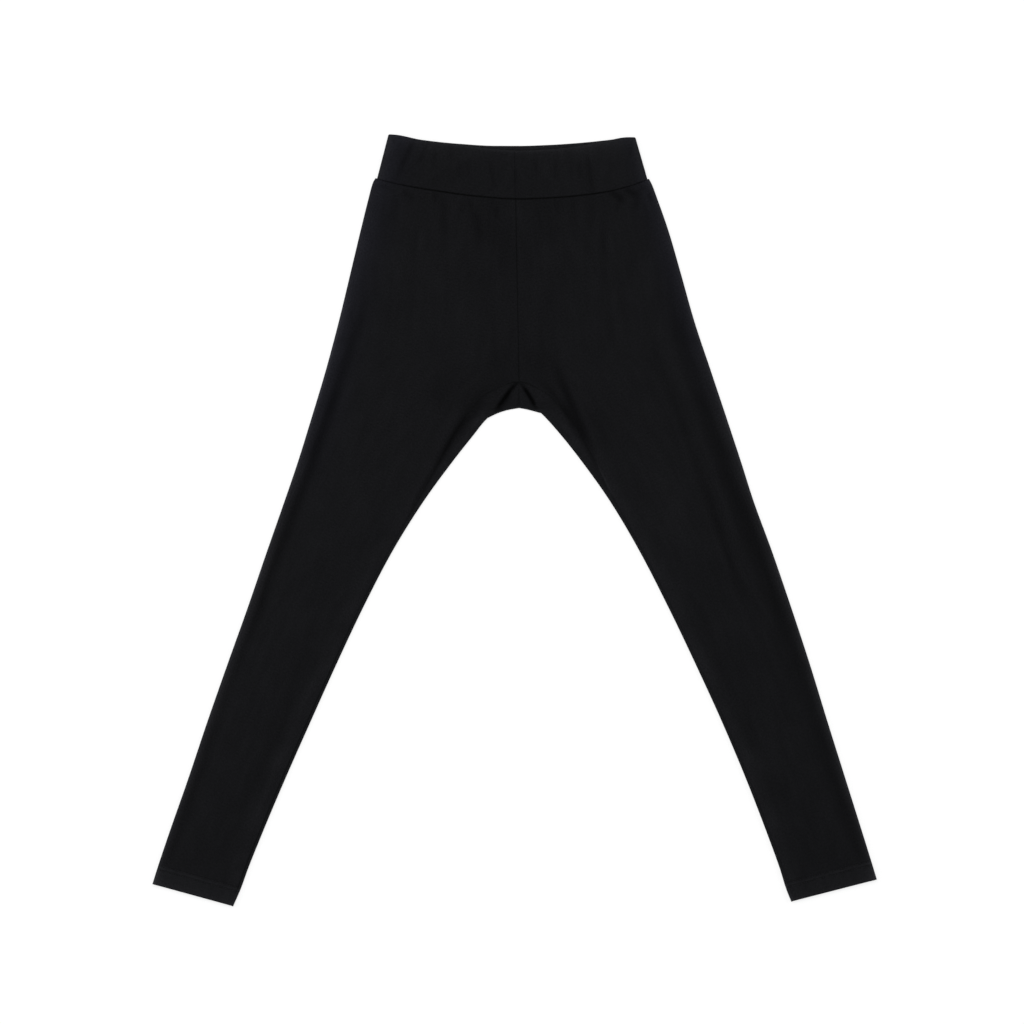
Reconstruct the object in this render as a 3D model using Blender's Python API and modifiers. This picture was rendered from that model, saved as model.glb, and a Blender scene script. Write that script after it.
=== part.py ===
"""A pair of leggings laid flat on their back: two one-piece legs and a folded waistband.

Sizes are in millimetres until the meshes are made, and MM turns them into metres.
Plan positions are (x, down): x runs to the wearer's left, because the front faces up,
and down is the distance below the waistband's highest corner. Height is above the
surface that the leggings lie on. The wearer's right leg lies on -X.
"""

import math
from typing import NamedTuple

import bpy
import numpy as np

MM = 0.001

# Cloth
CLOTH = 1.0               # one layer of knitted cloth
SEAM_GAP = 0.3            # clear distance between two sewn edges
HEM_DEPTH = 20.0          # turned-up hem
HEM_STEP = 3.0            # the panel climbs on to the hem's two layers over this length
HEM_LAYERS = 1.6          # the hem's wall, pressed flat, as a multiple of CLOTH
HEM_RISE = 0.8            # the hem stands above the panel by this much
HEM_TOLERANCE = 0.01      # a row this much above the hem's top line still lies on it

# Heights above the surface, and radii of the folds
PANEL_HEIGHT = 3.8        # top of the front panel where it lies flattest
WAIST_HEIGHT = 4.8        # the same along the waist seam
OUTER_ROLL = 2.4          # outer fold
WAIST_ROLL = 2.9          # the same at the waist seam
HEM_ROLL = 2.7            # the same at the hem
INNER_ROLL = 2.1          # inner fold down the leg
INNER_HEM_ROLL = 2.4      # the same at the hem
INSEAM_RISE = 0.3         # the front swells beside the inseam by this much
INSEAM_SWELL = 18.0       # and the swelling dies away over this width
SEAM_DIP = 0.2            # every front edge dips into its seam by this much
SEAM_DIP_WIDTH = 5.0      # over this width
RECESS_HEIGHT = 2.6       # the back's cloth in the recess on each side of the crotch
RECESS_EDGE = 2.0         # the leg's cloth climbs out of the recess over this length
RECESS_SHARE = 0.35       # below the crotch it lies this share of the way to the inseam
RECESS_NEAREST = 0.25     # and never nearer the inner fold than this share of the flap
RECESS_FURTHEST = 0.6     # nor further from it than this share
CLIMB_SHARE = 0.4         # longest climb, as a share of the flap left beyond the recess
FLAP_RIDGE = 0.5          # the flap swells above the inseam by this much
FLAP_RIDGE_WIDTH = 15.0   # on a flap this wide or wider

# Shares of the hips, from the waist seam to the crotch, over which the shape changes
WAIST_ROLL_SHARE = 0.2    # the outer fold tightens
WAIST_RISE_SHARE = 0.15   # the front sinks from WAIST_HEIGHT to PANEL_HEIGHT
WAIST_FOLD_SHARE = 0.04   # the troughs begin
OUTER_TROUGH_SHARE = 0.3  # the trough inside the outer fold begins here
OUTER_TROUGH_GROWTH = 0.6 # and reaches its depth over this share
OUTER_TROUGH_END = 40.0   # it ends this far above the hem
OUTER_TROUGH_FADE = 80.0  # and fades over this length

# The waistband: one strip folded double at the top
BAND_WALL = 2.7           # both layers of the folded strip
BAND_HEIGHT = 6.0         # front and back walls on each other
BAND_ROLL = 3.5           # radius of the fold at each side
BAND_BLEND = 30.0         # the side fold flattens into the panels over this width
BAND_SEAM_X = -0.5        # closing seam at centre front

# Rise seams
CENTRE_X_WAIST = 0.8
CENTRE_X_CROTCH = 5.0
CROTCH_DOWN = 303.0       # where both rise seams meet both inseams


class OuterEdge(NamedTuple):
    """Outer fold of each leg."""
    down: float
    right: float
    left: float


OUTER_EDGE = (
    OuterEdge(55.2, -171.0, 164.0),
    OuterEdge(60.0, -173.8, 166.8),
    OuterEdge(80.0, -179.5, 174.5),
    OuterEdge(120.0, -189.5, 188.5),
    OuterEdge(170.0, -201.5, 203.0),
    OuterEdge(230.0, -216.0, 220.0),
    OuterEdge(290.0, -232.0, 240.0),
    OuterEdge(350.0, -250.0, 260.0),
    OuterEdge(400.0, -265.5, 276.5),
    OuterEdge(450.0, -282.5, 292.5),
    OuterEdge(510.0, -303.5, 314.5),
    OuterEdge(580.0, -327.5, 338.5),
    OuterEdge(650.0, -352.5, 361.5),
    OuterEdge(720.0, -377.0, 383.0),
    OuterEdge(790.0, -400.5, 405.0),
    OuterEdge(860.0, -425.0, 427.0),
    OuterEdge(900.0, -438.0, 439.3),
    OuterEdge(917.0, -442.8, 444.3),
)


class InnerEdge(NamedTuple):
    """Inner fold of each leg, and how far in from it the inseam lies on the front."""
    down: float
    right: float
    left: float
    right_inseam: float
    left_inseam: float


INNER_EDGE = (
    InnerEdge(342.0, -26.0, 32.0, 24.0, 25.0),
    InnerEdge(348.0, -33.6, 38.0, 23.0, 24.0),
    InnerEdge(370.0, -51.8, 57.3, 21.0, 21.0),
    InnerEdge(400.0, -75.5, 81.0, 15.0, 15.0),
    InnerEdge(450.0, -112.0, 116.5, 6.8, 5.4),
    InnerEdge(510.0, -149.5, 152.0, 4.4, 4.0),
    InnerEdge(580.0, -186.0, 188.0, 4.2, 4.0),
    InnerEdge(650.0, -219.0, 221.5, 4.2, 4.0),
    InnerEdge(720.0, -250.5, 253.5, 4.2, 4.0),
    InnerEdge(790.0, -281.5, 283.0, 4.2, 4.0),
    InnerEdge(860.0, -311.0, 310.0, 4.2, 4.0),
    InnerEdge(900.0, -327.0, 324.5, 4.2, 4.0),
    InnerEdge(925.0, -335.5, 332.5, 4.2, 4.0),
    InnerEdge(944.5, -344.2, 341.0, 4.2, 4.0),
)


class CrotchEdge(NamedTuple):
    """The back's fold at the bottom of the crotch, from the centre (share 0) to the leg.

    recess and inseam are the distances in from the fold to where the front tucks down
    beside the crotch, and to the inseam. height is the whole height of the fold.
    """
    share: float
    x: float
    down: float
    recess: float
    inseam: float
    height: float


RIGHT_CROTCH = (
    CrotchEdge(0.0, 5.0, 335.7, 22.0, 48.0, 3.0),
    CrotchEdge(0.35, -8.0, 338.0, 13.5, 39.0, 3.2),
    CrotchEdge(0.7, -20.0, 341.6, 7.5, 31.0, 3.7),
    CrotchEdge(1.0, -33.6, 348.0, 5.0, 23.0, 4.2),
)
LEFT_CROTCH = (
    CrotchEdge(0.0, 5.0, 335.7, 18.5, 43.0, 3.0),
    CrotchEdge(0.35, 13.5, 337.2, 12.5, 37.0, 3.2),
    CrotchEdge(0.7, 23.0, 339.6, 7.5, 30.0, 3.7),
    CrotchEdge(1.0, 32.0, 342.0, 5.0, 25.0, 4.2),
)
INSEAM_ARC = 0.8          # below the crotch point the inseams open in an arc: 1 is straight
CROTCH_TURN = 0.5         # share of the fold over which rows turn from the centre to the leg
SHARE_STEP = 0.05         # short step along the fold that gives its direction
DOWN_STEP = 5.0           # short step down the inner fold that gives its direction


class WaistSeam(NamedTuple):
    """Waist seam on the front and on the back."""
    x: float
    front: float
    back: float


WAIST_SEAM = (
    WaistSeam(-169.0, 54.6, 54.6),
    WaistSeam(-141.0, 61.7, 60.8),
    WaistSeam(-97.0, 69.4, 67.0),
    WaistSeam(-50.0, 75.8, 71.4),
    WaistSeam(5.0, 79.8, 73.8),
    WaistSeam(55.0, 77.6, 72.6),
    WaistSeam(105.0, 71.9, 69.0),
    WaistSeam(138.0, 64.2, 63.0),
    WaistSeam(162.5, 55.4, 55.4),
)


class TopEdge(NamedTuple):
    """Waistband's folded top edge on the front and on the back."""
    x: float
    front: float
    back: float


TOP_EDGE = (
    TopEdge(-155.0, 1.2, 1.2),
    TopEdge(-146.0, 1.4, 1.2),
    TopEdge(-116.0, 7.4, 7.2),
    TopEdge(-67.0, 13.6, 12.4),
    TopEdge(-25.0, 19.2, 14.6),
    TopEdge(5.0, 21.1, 14.8),
    TopEdge(40.0, 19.5, 13.9),
    TopEdge(77.0, 14.8, 11.6),
    TopEdge(117.0, 7.6, 7.1),
    TopEdge(138.0, 4.0, 3.9),
    TopEdge(147.5, 4.0, 4.0),
)
BAND_TOP_X = (-155.0, 147.5)
BAND_BOTTOM_X = (-169.0, 162.3)


class Leg(NamedTuple):
    """One leg: its node, its side of the wearer and where its rows end."""
    node: str
    side: str
    sign: int
    crotch_edge: tuple
    outer_at_crotch: float
    outer_at_fold: float
    outer_at_fold_end: float
    hem_outer: float
    hem_inner: float


LEGS = (
    Leg("leg_right", "right", -1, RIGHT_CROTCH, 245.0, 261.0, 279.0, 919.6, 947.1),
    Leg("leg_left", "left", 1, LEFT_CROTCH, 245.0, 261.0, 276.0, 913.9, 941.2),
)


class Fold(NamedTuple):
    """A soft trough in the front, along a bent line of three plan points."""
    x1: float
    down1: float
    x2: float
    down2: float
    x3: float
    down3: float
    width: float
    depth: float


FOLDS = (
    Fold(-24.0, 290.0, -50.0, 333.0, -82.0, 381.0, 18.0, 0.6),
    Fold(28.0, 233.0, 67.0, 322.0, 97.0, 396.0, 20.0, 0.7),
    Fold(185.0, 233.0, 228.0, 370.0, 294.0, 586.0, 26.0, 0.5),
    Fold(113.0, 96.0, 118.0, 170.0, 112.0, 245.0, 28.0, 0.4),
    Fold(-58.0, 84.0, -48.0, 110.0, -39.0, 138.0, 26.0, 0.4),
    Fold(-91.0, 84.0, -90.0, 110.0, -92.0, 134.0, 26.0, 0.3),
)
BAND_FOLDS = (
    Fold(-126.0, 10.0, -133.0, 26.0, -141.0, 43.0, 24.0, 0.35),
    Fold(-32.0, 24.0, -28.0, 42.0, -24.0, 60.0, 26.0, 0.3),
    Fold(90.0, 24.0, 91.0, 46.0, 93.0, 68.0, 28.0, 0.35),
)


class Profile(NamedTuple):
    """Height of a front panel less PANEL_HEIGHT, at a distance in from its outer fold."""
    inset: float
    rise: float


OUTER_PROFILE = (
    Profile(0.0, 1.0),
    Profile(7.0, 0.6),
    Profile(17.0, -0.5),
    Profile(30.0, 0.0),
    Profile(60.0, 0.0),
)

# Rows along each leg and columns across it
HIP_ROWS = 14
CROTCH_ROWS = 3
FOLD_ROWS = 4
SHANK_ROWS = 26
SEAM_INSETS = (0.0, 4.0, 10.0, 18.0, 29.0)
OUTER_INSETS = (29.0, 19.0, 12.0, 6.0)
MIDDLE_COLUMNS = 5
BACK_COLUMNS = 8
FLAP_COLUMNS = 4
ROLL_STEPS = 4
NARROWEST_FLAP = 0.8      # flap between the inner fold and the inseam

# Columns round the waistband and rows up it
BAND_FRONT_COLUMNS = 10
BAND_BACK_COLUMNS = 16
BAND_ROWS = 4
BAND_INSIDE_ROWS = 2
TOP_FOLD_STEPS = 4

CLOTH_COLOUR = (0.0084, 0.0085, 0.0100, 1.0)
CLOTH_ROUGHNESS = 0.85
SMOOTH_ANGLE = math.radians(50.0)

UP_THE_PLAN = np.array((0.0, -1.0))


def mix(a, b, share):
    """Value a share of the way from a to b."""
    return a + (b - a) * share


def spread(first, last, count):
    """Evenly spaced values from first to last, both included."""
    return [mix(first, last, i / count) for i in range(count + 1)]


def fade(value):
    """Smooth step from 0 to 1 as value goes from 0 to 1."""
    t = min(max(value, 0.0), 1.0)
    return t * t * (3.0 - 2.0 * t)


def unit(vector):
    """Vector of length one."""
    return vector / np.linalg.norm(vector)


def curve(table, key, value):
    """Smooth curve through two columns of a table, with no overshoot between its rows."""
    at = np.array([getattr(row, key) for row in table])
    to = np.array([getattr(row, value) for row in table])
    gap = np.diff(at)
    slope = np.diff(to) / gap
    tangent = np.concatenate(([slope[0]], np.zeros(len(at) - 2), [slope[-1]]))
    for i in range(1, len(at) - 1):
        if slope[i - 1] * slope[i] > 0.0:
            before = 2.0 * gap[i] + gap[i - 1]
            after = gap[i] + 2.0 * gap[i - 1]
            tangent[i] = (before + after) / (before / slope[i - 1] + after / slope[i])

    def value_at(where):
        i = int(np.clip(np.searchsorted(at, where) - 1, 0, len(gap) - 1))
        t = (where - at[i]) / gap[i]
        if t < 0.0:
            return to[i] + slope[i] * (where - at[i])
        if t > 1.0:
            return to[i + 1] + slope[i] * (where - at[i + 1])
        rise = gap[i] * (tangent[i] * (1.0 - t) - tangent[i + 1] * t)
        smooth = fade(t)
        return mix(to[i], to[i + 1], smooth) + rise * t * (1.0 - t)

    return value_at


def to_segment(point, start, end):
    """Distance from a plan point to a segment, and how far along it the nearest point is."""
    run = end - start
    share = float(np.clip(np.dot(point - start, run) / np.dot(run, run), 0.0, 1.0))
    return float(np.linalg.norm(point - start - share * run)), share


def folds_at(point, folds):
    """Depth of the soft troughs at a plan point."""
    depth = 0.0
    for fold in folds:
        first = np.array((fold.x1, fold.down1))
        middle = np.array((fold.x2, fold.down2))
        last = np.array((fold.x3, fold.down3))
        upper, upper_share = to_segment(point, first, middle)
        lower, lower_share = to_segment(point, middle, last)
        along = 0.5 * upper_share if upper < lower else 0.5 + 0.5 * lower_share
        across = max(0.0, 1.0 - (2.0 * min(upper, lower) / fold.width) ** 2)
        depth += fold.depth * across ** 2 * math.sin(math.pi * along)
    return depth


class Row(NamedTuple):
    """One line across a leg, from its inner line to its outer fold."""
    outer: np.ndarray         # plan point on the outer fold
    inner: np.ndarray         # plan point on the centre line or the inner fold
    inner_back: np.ndarray    # the same for the back panel
    inward: np.ndarray        # plan direction from the inner fold into the leg
    hip_share: float          # 0 at the waist seam, 1 from the crotch down
    recess: float             # the recess beside the crotch, in from the inner line
    inseam: float             # the inseam, in from the inner line
    inner_roll: float         # radius of the inner fold, 0 where there is none
    from_hem: float           # distance up the outer fold from the hem

    @property
    def in_hem(self):
        """1 on the turned-up hem, 0 above it."""
        return 1.0 if self.from_hem < HEM_DEPTH + HEM_TOLERANCE else 0.0

    @property
    def outer_roll(self):
        """Radius of the outer fold."""
        waist = mix(WAIST_ROLL, OUTER_ROLL, fade(self.hip_share / WAIST_ROLL_SHARE))
        return mix(waist, HEM_ROLL, self.in_hem)

    @property
    def toward(self):
        """Plan direction from the outer fold to the inner line."""
        return unit(self.inner - self.outer)

    @property
    def outer_start(self):
        """Plan point where the panels leave the outer fold."""
        return self.outer + self.outer_roll * self.toward

    @property
    def inner_start(self):
        """Plan point where the front leaves the inner fold or the centre line."""
        return self.inner + self.inner_roll * self.inward

    @property
    def back_start(self):
        """Plan point where the back leaves the inner fold or the centre line."""
        return self.inner_back + self.inner_roll * self.inward

    @property
    def width(self):
        """Width of the front from the inner fold or centre line to the outer fold."""
        return float(np.linalg.norm(self.outer_start - self.inner_start))

    def place(self, along):
        """Plan point of the front at a distance from the inner fold or the centre line."""
        return mix(self.inner_start, self.outer_start, along / self.width)


def outer_points(leg, first, last, count):
    """Plan points down a leg's outer fold, count steps from one level to another."""
    outer_x = curve(OUTER_EDGE, "down", leg.side)
    return [np.array((outer_x(down), down)) for down in spread(first, last, count)]


def hip_rows(leg):
    """Rows from the waist seam to the crotch point, which end on the rise seams."""
    front = curve(WAIST_SEAM, "x", "front")(CENTRE_X_WAIST) + SEAM_GAP / 2
    back = curve(WAIST_SEAM, "x", "back")(CENTRE_X_WAIST) + SEAM_GAP / 2
    outers = outer_points(leg, OUTER_EDGE[0].down, leg.outer_at_crotch, HIP_ROWS)
    rows = []
    for share, outer in zip(spread(0.0, 1.0, HIP_ROWS), outers):
        x = mix(CENTRE_X_WAIST, CENTRE_X_CROTCH, share)
        rows.append(Row(
            outer=outer,
            inner=np.array((x, mix(front, CROTCH_DOWN, share))),
            inner_back=np.array((x, mix(back, CROTCH_DOWN, share))),
            inward=np.array((float(leg.sign), 0.0)),
            hip_share=share,
            recess=0.0,
            inseam=0.0,
            inner_roll=0.0,
            from_hem=leg.hem_outer - outer[1],
        ))
    return rows


def crotch_rows(leg):
    """Rows from just below the crotch point down the back's centre seam to its fold."""
    outers = outer_points(leg, leg.outer_at_crotch, leg.outer_at_fold, CROTCH_ROWS)
    lowest = leg.crotch_edge[0]
    rows = []
    for share, outer in zip(spread(0.0, 1.0, CROTCH_ROWS)[1:-1], outers[1:-1]):
        inner = np.array((CENTRE_X_CROTCH, mix(CROTCH_DOWN, lowest.down, share)))
        rows.append(Row(
            outer=outer,
            inner=inner,
            inner_back=inner,
            inward=np.array((float(leg.sign), 0.0)),
            hip_share=1.0,
            recess=lowest.recess * share,
            inseam=lowest.inseam * share ** INSEAM_ARC,
            inner_roll=0.0,
            from_hem=leg.hem_outer - outer[1],
        ))
    return rows


def fold_rows(leg):
    """Rows along the fold at the bottom of the crotch, from the centre to the leg."""
    outers = outer_points(leg, leg.outer_at_fold, leg.outer_at_fold_end, FOLD_ROWS)
    edge = {key: curve(leg.crotch_edge, "share", key) for key in CrotchEdge._fields[1:]}
    rows = []
    for share, outer in zip(spread(0.0, 1.0, FOLD_ROWS), outers):
        inner = np.array((edge["x"](share), edge["down"](share)))
        next_share = share + SHARE_STEP
        further = np.array((edge["x"](next_share), edge["down"](next_share)))
        along = unit(further - inner)
        square = np.array((along[1] * leg.sign, -abs(along[0])))
        rows.append(Row(
            outer=outer,
            inner=inner,
            inner_back=inner,
            inward=unit(mix(UP_THE_PLAN, square, fade(share / CROTCH_TURN))),
            hip_share=1.0,
            recess=edge["recess"](share),
            inseam=edge["inseam"](share),
            inner_roll=edge["height"](share) / 2.0,
            from_hem=leg.hem_outer - outer[1],
        ))
    return rows


def shank_rows(leg):
    """Rows from the end of the crotch's fold to the hem."""
    outer_x = curve(OUTER_EDGE, "down", leg.side)
    inner_x = curve(INNER_EDGE, "down", leg.side)
    inseam = curve(INNER_EDGE, "down", leg.side + "_inseam")
    run = leg.hem_outer - leg.outer_at_fold_end
    hem_share = 1.0 - HEM_DEPTH / run
    shares = spread(0.0, hem_share, SHANK_ROWS)[1:-1]
    shares += [hem_share - HEM_STEP / run, hem_share, mix(hem_share, 1.0, 0.5), 1.0]
    rows = []
    for share in shares:
        down = mix(leg.outer_at_fold_end, leg.hem_outer, share)
        inner_down = mix(leg.crotch_edge[-1].down, leg.hem_inner, share)
        inner = np.array((inner_x(inner_down), inner_down))
        next_down = inner_down + DOWN_STEP
        further = np.array((inner_x(next_down), next_down))
        along = unit(further - inner)
        rows.append(Row(
            outer=np.array((outer_x(down), down)),
            inner=inner,
            inner_back=inner,
            inward=np.array((leg.sign * along[1], -leg.sign * along[0])),
            hip_share=1.0,
            recess=mix(INNER_ROLL, inseam(inner_down), RECESS_SHARE),
            inseam=inseam(inner_down),
            inner_roll=INNER_ROLL if share < hem_share else INNER_HEM_ROLL,
            from_hem=leg.hem_outer - down,
        ))
    return rows


def sag(row, waist_row, point, side):
    """Plan point lowered to follow the waist seam's curve, less and less down the hips."""
    if row.hip_share >= 1.0:
        return point
    share = (point[0] - row.inner[0]) / (row.outer[0] - row.inner[0])
    waist_x = mix(waist_row.inner[0], waist_row.outer[0], share)
    waist_inner = waist_row.inner if side == "front" else waist_row.inner_back
    line_down = mix(waist_inner[1], waist_row.outer[1], share)
    seam_down = curve(WAIST_SEAM, "x", side)(waist_x) + SEAM_GAP / 2
    return point + np.array((0.0, (seam_down - line_down) * (1.0 - row.hip_share) ** 2))


def front_height(row, point, inset, seam_inset):
    """Height of a front panel's face, inset from its outer fold and from its inner edge."""
    rise = curve(OUTER_PROFILE, "inset", "rise")(min(inset, OUTER_PROFILE[-1].inset))
    if rise < 0.0:
        rise *= fade((row.hip_share - OUTER_TROUGH_SHARE) / OUTER_TROUGH_GROWTH)
        rise *= fade((row.from_hem - OUTER_TROUGH_END) / OUTER_TROUGH_FADE)
    waist = mix(WAIST_HEIGHT - PANEL_HEIGHT, 0.0, fade(row.hip_share / WAIST_RISE_SHARE))
    hem = HEM_RISE * row.in_hem
    seam_dip = mix(SEAM_DIP, 0.0, fade(seam_inset / SEAM_DIP_WIDTH))
    inseam = mix(INSEAM_RISE, 0.0, fade(seam_inset / INSEAM_SWELL)) if row.inner_roll else 0.0
    folds = folds_at(point, FOLDS) * fade(row.hip_share / WAIST_FOLD_SHARE)
    return PANEL_HEIGHT + rise + waist + hem + inseam - seam_dip - folds


def front_points(row, waist_row, edge):
    """Front panel, from its rise seam or inseam to the outer fold."""
    to_outer = row.width + row.outer_roll
    inner_side = [edge + inset for inset in SEAM_INSETS]
    outer_side = [to_outer - inset for inset in OUTER_INSETS]
    middle = spread(inner_side[-1], outer_side[0], MIDDLE_COLUMNS)[1:-1]
    points = []
    for along in inner_side + middle + outer_side:
        point = sag(row, waist_row, row.place(along), "front")
        height = front_height(row, point, to_outer - along, along - edge)
        points.append((point[0], point[1], height))
    return points


def outer_fold_points(row, waist_row):
    """Outer fold, from the front over the edge to the back."""
    points = []
    for angle in spread(math.pi / 2, -math.pi / 2, ROLL_STEPS):
        point = row.outer + row.outer_roll * (1.0 - math.cos(angle)) * row.toward
        point = sag(row, waist_row, point, "front")
        points.append((point[0], point[1], row.outer_roll * (1.0 + math.sin(angle))))
    return points


def back_points(leg, row, waist_row, half_gap):
    """Back panel, flat on the surface, from the outer fold to the inner line."""
    end = row.back_start + np.array((leg.sign * half_gap, 0.0))
    points = []
    for share in spread(0.0, 1.0, BACK_COLUMNS)[1:]:
        point = sag(row, waist_row, mix(row.outer_start, end, share), "back")
        points.append((point[0], point[1], 0.0))
    return points


def inner_fold_points(row):
    """Inner fold, from the back over the edge to the flap."""
    points = []
    for angle in spread(-math.pi / 2, math.pi / 2, ROLL_STEPS)[1:]:
        point = row.inner + row.inner_roll * (1.0 - math.cos(angle)) * row.inward
        points.append((point[0], point[1], row.inner_roll * (1.0 + math.sin(angle))))
    return points


def flap_points(row, edge, edge_height, recessed):
    """Back panel's edge, folded forward: from the inner fold to the inseam."""
    seam = edge - SEAM_GAP
    recess = max(row.recess - row.inner_roll, RECESS_NEAREST * seam)
    recess = min(recess, RECESS_FURTHEST * seam)
    climb = min(RECESS_EDGE, CLIMB_SHARE * (seam - recess))
    fold_height = 2.0 * row.inner_roll
    ridge = edge_height + FLAP_RIDGE * fade(row.inseam / FLAP_RIDGE_WIDTH)
    recess_height = RECESS_HEIGHT if recessed else mix(fold_height, ridge, 0.5)
    profile = (
        (recess, recess_height),
        (recess + climb, ridge),
        (mix(recess + climb, seam, 0.5), ridge),
        (seam, edge_height),
    )
    return [(*row.place(along), height) for along, height in profile]


def leg_grid(leg):
    """Outer face of a leg's cloth: rows of points from its front edge round to its flap.

    The flap is the back panel's edge, folded forward to the inseam. It starts in a point
    at the crotch and joins the back through the inner fold, which starts lower, so the
    rows above have None where there is no cloth.
    """
    rows = hip_rows(leg)
    crotch = len(rows) - 1
    rows += crotch_rows(leg)
    folded = len(rows)
    rows += fold_rows(leg)
    fold_end = len(rows) - 1
    rows += shank_rows(leg)
    none_on_fold = [None] * (ROLL_STEPS - 1)
    half_gap = SEAM_GAP / 2
    grid = []
    for number, row in enumerate(rows):
        edge = half_gap
        if number > crotch:
            edge = max(row.inseam - row.inner_roll, NARROWEST_FLAP) + half_gap
        line = front_points(row, rows[0], edge)
        edge_height = line[0][2]
        line += outer_fold_points(row, rows[0])
        line += back_points(leg, row, rows[0], 0.0 if number >= folded else half_gap)
        if number < crotch:
            line += none_on_fold + [None] * (1 + FLAP_COLUMNS)
        elif number == crotch:
            apex = row.place(half_gap) + np.array((0.0, SEAM_GAP))
            line += none_on_fold + [(apex[0], apex[1], edge_height)] * (1 + FLAP_COLUMNS)
        elif number < folded:
            share = (number - crotch) / CROTCH_ROWS
            centre_height = mix(edge_height, leg.crotch_edge[0].height, share)
            line += none_on_fold + [(*row.place(half_gap), centre_height)]
            line += flap_points(row, edge, edge_height, True)
        else:
            line += inner_fold_points(row)
            line += flap_points(row, edge, edge_height, number < fold_end - 1)
        grid.append(line)
    return grid, rows


class BandColumn(NamedTuple):
    """A line up the waistband, and the direction that its cloth faces there."""
    share: float              # place between the side folds, from -X to +X
    outward_x: float
    outward_z: float

    @property
    def front(self):
        """1 on the front, 0 on the back, between them on the side folds."""
        return 0.5 + 0.5 * self.outward_z


def band_columns():
    """Lines round the waistband from the closing seam by way of +X, the back and -X."""
    inside = BAND_TOP_X[1] - BAND_TOP_X[0] - 2.0 * BAND_ROLL
    seam = (BAND_SEAM_X - BAND_TOP_X[0] - BAND_ROLL) / inside
    half_gap = 0.5 * SEAM_GAP / inside
    quarter = math.pi / 2
    left_front = spread(seam + half_gap, 1.0, BAND_FRONT_COLUMNS)
    right_front = spread(0.0, seam - half_gap, BAND_FRONT_COLUMNS)
    columns = [BandColumn(share, 0.0, 1.0) for share in left_front]
    for angle in spread(quarter, -quarter, ROLL_STEPS)[1:-1]:
        columns.append(BandColumn(1.0, math.cos(angle), math.sin(angle)))
    columns += [BandColumn(share, 0.0, -1.0) for share in spread(1.0, 0.0, BAND_BACK_COLUMNS)]
    for angle in spread(-quarter, quarter, ROLL_STEPS)[1:-1]:
        columns.append(BandColumn(0.0, -math.cos(angle), math.sin(angle)))
    columns += [BandColumn(share, 0.0, 1.0) for share in right_front]
    return columns


def band_point(column, down, depth):
    """Point of the waistband's cloth in a column, at a depth below its outer face."""
    down_at_seam, down_at_top = band_edges(column)
    level = (down_at_seam - down) / (down_at_seam - down_at_top)
    first = mix(BAND_BOTTOM_X[0], BAND_TOP_X[0], level) + BAND_ROLL
    last = mix(BAND_BOTTOM_X[1], BAND_TOP_X[1], level) - BAND_ROLL
    x = mix(first, last, column.share)
    from_side = min(x - first, last - x)
    height = mix(2.0 * BAND_ROLL, BAND_HEIGHT, fade(from_side / BAND_BLEND))
    height -= folds_at(np.array((x, down)), BAND_FOLDS)
    half = 0.5 * height
    return (
        x + (BAND_ROLL - depth) * column.outward_x,
        down,
        half + (half - depth) * column.outward_z,
    )


def band_edges(column):
    """Levels of the waistband's bottom and top edges in a column."""
    edges = (
        (WAIST_SEAM, BAND_BOTTOM_X, SEAM_GAP / 2),
        (TOP_EDGE, BAND_TOP_X, 0.0),
    )
    levels = []
    for table, ends, gap in edges:
        x = mix(ends[0] + BAND_ROLL, ends[1] - BAND_ROLL, column.share)
        x += BAND_ROLL * column.outward_x
        front = curve(table, "x", "front")(x)
        back = curve(table, "x", "back")(x)
        levels.append(mix(back, front, column.front) - gap)
    return levels


def band_grid():
    """Outer face of the waistband's strip: up the outside, over the top fold, down the inside."""
    columns = band_columns()
    edges = [band_edges(column) for column in columns]
    top_roll = BAND_WALL / 2
    grid = []
    for level in spread(0.0, 1.0, BAND_ROWS):
        grid.append([
            band_point(column, mix(bottom, top + top_roll, level), 0.0)
            for column, (bottom, top) in zip(columns, edges)
        ])
    for angle in spread(0.0, math.pi, TOP_FOLD_STEPS)[1:]:
        depth = top_roll * (1.0 - math.cos(angle))
        rise = top_roll * (1.0 - math.sin(angle))
        grid.append([
            band_point(column, top + rise, depth) for column, (_, top) in zip(columns, edges)
        ])
    for level in spread(1.0, 0.0, BAND_INSIDE_ROWS)[1:]:
        grid.append([
            band_point(column, mix(bottom, top + top_roll, level), BAND_WALL)
            for column, (bottom, top) in zip(columns, edges)
        ])
    return grid


def cloth_material(name):
    """Matt black knitted cloth."""
    material = bpy.data.materials.new(name)
    material.use_nodes = True
    shader = material.node_tree.nodes["Principled BSDF"]
    shader.inputs["Base Color"].default_value = CLOTH_COLOUR
    shader.inputs["Roughness"].default_value = CLOTH_ROUGHNESS
    shader.inputs["Metallic"].default_value = 0.0
    material.diffuse_color = CLOTH_COLOUR
    return material


def sheet_object(name, grid, collection, turned=False):
    """Object of an open sheet through a grid of points; None in the grid is no cloth."""
    numbers = {}
    faces = []
    for upper, lower in zip(grid, grid[1:]):
        for corners in zip(upper, upper[1:], lower[1:], lower):
            if None in corners:
                continue
            face = [numbers.setdefault(corner, len(numbers)) for corner in corners]
            face = list(dict.fromkeys(face))
            if len(face) > 2:
                faces.append(face[::-1] if turned else face)
    mesh = bpy.data.meshes.new(name)
    mesh.from_pydata([(x * MM, -down * MM, height * MM) for x, down, height in numbers], [], faces)
    mesh.validate()
    mesh.shade_smooth()
    mesh.set_sharp_from_angle(angle=SMOOTH_ANGLE)
    mesh.materials.append(cloth_material(name))
    piece = bpy.data.objects.new(name, mesh)
    collection.objects.link(piece)
    return piece, numbers


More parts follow.
